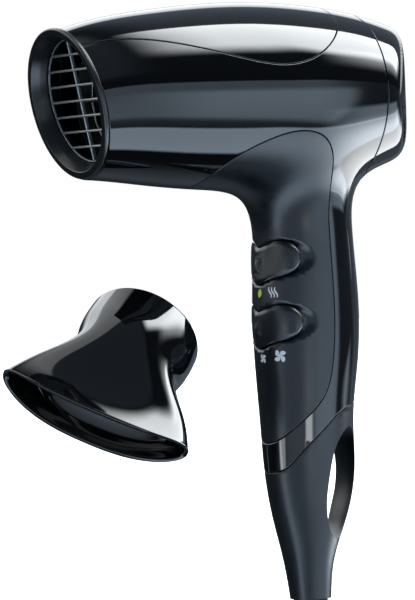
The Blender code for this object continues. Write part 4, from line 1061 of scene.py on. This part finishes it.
def stroke(path, width):
    """Outline of a tapering stroke along a path."""
    left, right = [], []
    for i, (a, b) in enumerate(path):
        c, d = path[max(i - 1, 0)], path[min(i + 1, len(path) - 1)]
        length = hypot(d[0] - c[0], d[1] - c[1])
        nx, ny = -(d[1] - c[1]) / length, (d[0] - c[0]) / length
        half = width / 2 * (0.45 + 0.55 * sin(pi * i / (len(path) - 1)) ** 0.6)
        left.append((a + nx * half, b + ny * half))
        right.append((a - nx * half, b - ny * half))
    return left + right[::-1]


def heat_wave(shift):
    path = [(shift - WAVE_SWAY * sin(2 * pi * t / WAVE_STEPS)
             + WAVE_LEAN * (t - WAVE_STEPS / 2), WAVE_HALF - 2 * WAVE_HALF * t / WAVE_STEPS)
            for t in range(WAVE_STEPS + 1)]
    return stroke(path, WAVE_WIDTH)


def fan_blade(angle, size):
    """One swept blade of the fan sign."""
    outline = []
    for t in range(BLADE_STEPS + 1):
        u = t / BLADE_STEPS
        outline.append((size * u, size * 0.42 * sin(pi * u) ** 0.8 + size * 0.10 * u))
    outline += [(size * a, -size * b) for a, b in ((0.98, 0.18), (0.55, 0.22), (0.25, 0.1))]
    c, s = cos(angle), sin(angle)
    return [(a * c - b * s, a * s + b * c) for a, b in outline]


def leaf(size):
    side = [(size * 0.42 * sin(pi * t / LEAF_STEPS), size * (t / LEAF_STEPS - 0.5) * 1.3)
            for t in range(1, LEAF_STEPS)]
    return [(0, -size * 0.65)] + side + [(0, size * 0.65)] + [(-a, b) for a, b in side[::-1]]


printed("heat_sign", [heat_wave(s) for s in (-1.45, 0, 1.45)], (-20.9, -8.6, 16.9), WHITE_PRINT)
for fan_name, size, centre in (("small_fan_sign", 2.1, (-23.1, -2.2, -10.9)),
                               ("big_fan_sign", 2.9, (-19.7, -10.5, -9.9))):
    printed(fan_name, [fan_blade(2 * pi * k / BLADES + BLADE_TURN, size) for k in range(BLADES)],
            centre, WHITE_PRINT)
printed("leaf_sign", [leaf(3.2)], (-22.9, -1.2, 16.6), GREEN_PRINT, -0.35)


# ---------------------------------------------------------------- studio
FLOOR_DROP, FLOOR_R = 0.0004, 4.0        # metres
floor_bm = bmesh.new()
bmesh.ops.create_circle(floor_bm, cap_ends=True, segments=96, radius=FLOOR_R)
bmesh.ops.translate(floor_bm, verts=floor_bm.verts, vec=(0, 0, cad_low.z - FLOOR_DROP))
mesh = bpy.data.meshes.new("floor")
floor_bm.to_mesh(mesh)
floor_bm.free()
floor = bpy.data.objects.new("floor", mesh)
bpy.context.scene.collection.objects.link(floor)
floor.visible_glossy = False
floor.visible_diffuse = False
paper = bpy.data.materials.new("pale_floor")
paper.use_nodes = True
paper.node_tree.nodes.clear()
f = Finish(paper.node_tree)
shader = f.node("BsdfPrincipled", output="BSDF", Base_Color=(0.8, 0.8, 0.8, 1), Roughness=0.9,
                Emission_Color=(1, 1, 1, 1), Emission_Strength=0.55)
out = paper.node_tree.nodes.new("ShaderNodeOutputMaterial")
paper.node_tree.links.new(shader.socket, out.inputs["Surface"])
mesh.materials.append(paper)

world = bpy.data.worlds.new("studio")
bpy.context.scene.world = world
world.use_nodes = True
world.node_tree.nodes.clear()
w = Finish(world.node_tree)
way = w.node("TexCoord", output="Generated")
parts = w.node("SeparateXYZ", Vector=way)
dx, dy, dz = (Flow(world.node_tree, parts.socket.node.outputs[i]) for i in range(3))
tip = (dy * -1).math("ARCTAN2", dz) * (180 / pi)      # 0 overhead, 90 towards the viewer's side
bearing = dx.math("ARCTAN2", dy * -1) * (180 / pi)    # 0 towards the viewer's side, 90 rearwards


ROOM_GLOW = 0.05             # what comes from everywhere


def card(value, low, high, soft_low, soft_high):
    """1 between two angles, with soft or hard edges."""
    return (w.spread(value, low - soft_low / 2, low + soft_low / 2, 0, 1, True)
            * w.spread(value, high - soft_high / 2, high + soft_high / 2, 1, 0, True))


def level_card(low, high, soft):
    return card(dz, low, high, soft, soft)


below = dy.math("ARCTAN2", dz * -1) * (180 / pi)      # 0 straight down, minus is the viewer's side
not_edge = w.spread(dx, 0.93, 0.985, 1, 0, True)      # keeps light off the handle's rear edge
far_side = w.spread(dx, 0.20, 0.40, 0, 1, True) * not_edge      # mirrored by barrel, not nozzle
rearwards = w.spread(dx, 0.58, 0.80, 0, 1, True)
near_rear = rearwards * not_edge                      # what the barrel's rear end mirrors
top_strip = card(tip, -6, 33, 1.2, 16) * far_side * 13.5
rear_shoulder = card(tip, 24, 46, 16, 24) * near_rear * 5.0
front_top = card(tip, -60, 2, 20, 3) * w.spread(dx, -0.05, 0.2, 1, 0, True) * 1.7
rear_underside = card(below, -42, 26, 34, 2) * near_rear * 8.0
far_strip = card(tip, -76, -50, 12, 5) * 2.4
front_low_panel = card(bearing, -90, -66, 8, 6) * level_card(-0.215, -0.11, 0.03) * 4.0
near_low_panel = card(bearing, -5, 9, 6, 6) * level_card(-0.215, -0.13, 0.03) * 7.0
glow = (top_strip + rear_shoulder + front_top + rear_underside + far_strip + front_low_panel
        + near_low_panel)
near_sheet = card(tip, 74, 118, 1.2, 52) * (1 - rearwards * 0.9) * 1.15
low_strip = card(tip, 131, 165, 2.5, 5) * not_edge * 4.2
low_rear_strip = card(tip, 110, 134, 8, 3) * near_rear * 2.4
far_top_haze = card(tip, -50, -6, 4, 2) * far_side * 0.35
near_top_haze = card(tip, 2, 60, 3, 10) * w.spread(dx, 0.12, 0.26, 1, 0, True) * 0.22
near_panel = card(bearing, 14, 47, 14, 5) * level_card(-0.45, 0.08, 0.12) * 1.7
rear_panel = card(bearing, 84, 140, 10, 20) * level_card(-0.38, 0.04, 0.08) * 0.25
far_underside = card(tip, -165, -125, 30, 30) * 0.25
dim = (near_sheet + low_strip + low_rear_strip + far_top_haze + near_top_haze + near_panel
       + rear_panel + far_underside + ROOM_GLOW)
bright = w.node("Background", output="Background", Color=(0.93, 0.97, 1.0, 1), Strength=glow)
blue = w.node("Background", output="Background", Color=(0.66, 0.82, 1.0, 1), Strength=dim)
light = Flow(world.node_tree, world.node_tree.nodes.new("ShaderNodeAddShader").outputs[0])
join(light.socket.node.inputs[0], bright)
join(light.socket.node.inputs[1], blue)
white = w.node("Background", output="Background", Color=(1, 1, 1, 1), Strength=1.0)
seen = w.node("LightPath", output="Is Camera Ray")
both = world.node_tree.nodes.new("ShaderNodeMixShader")
join(both.inputs[0], seen)
join(both.inputs[1], light)
join(both.inputs[2], white)
out = world.node_tree.nodes.new("ShaderNodeOutputWorld")
world.node_tree.links.new(both.outputs[0], out.inputs["Surface"])

bpy.context.scene.view_settings.view_transform = "Standard"
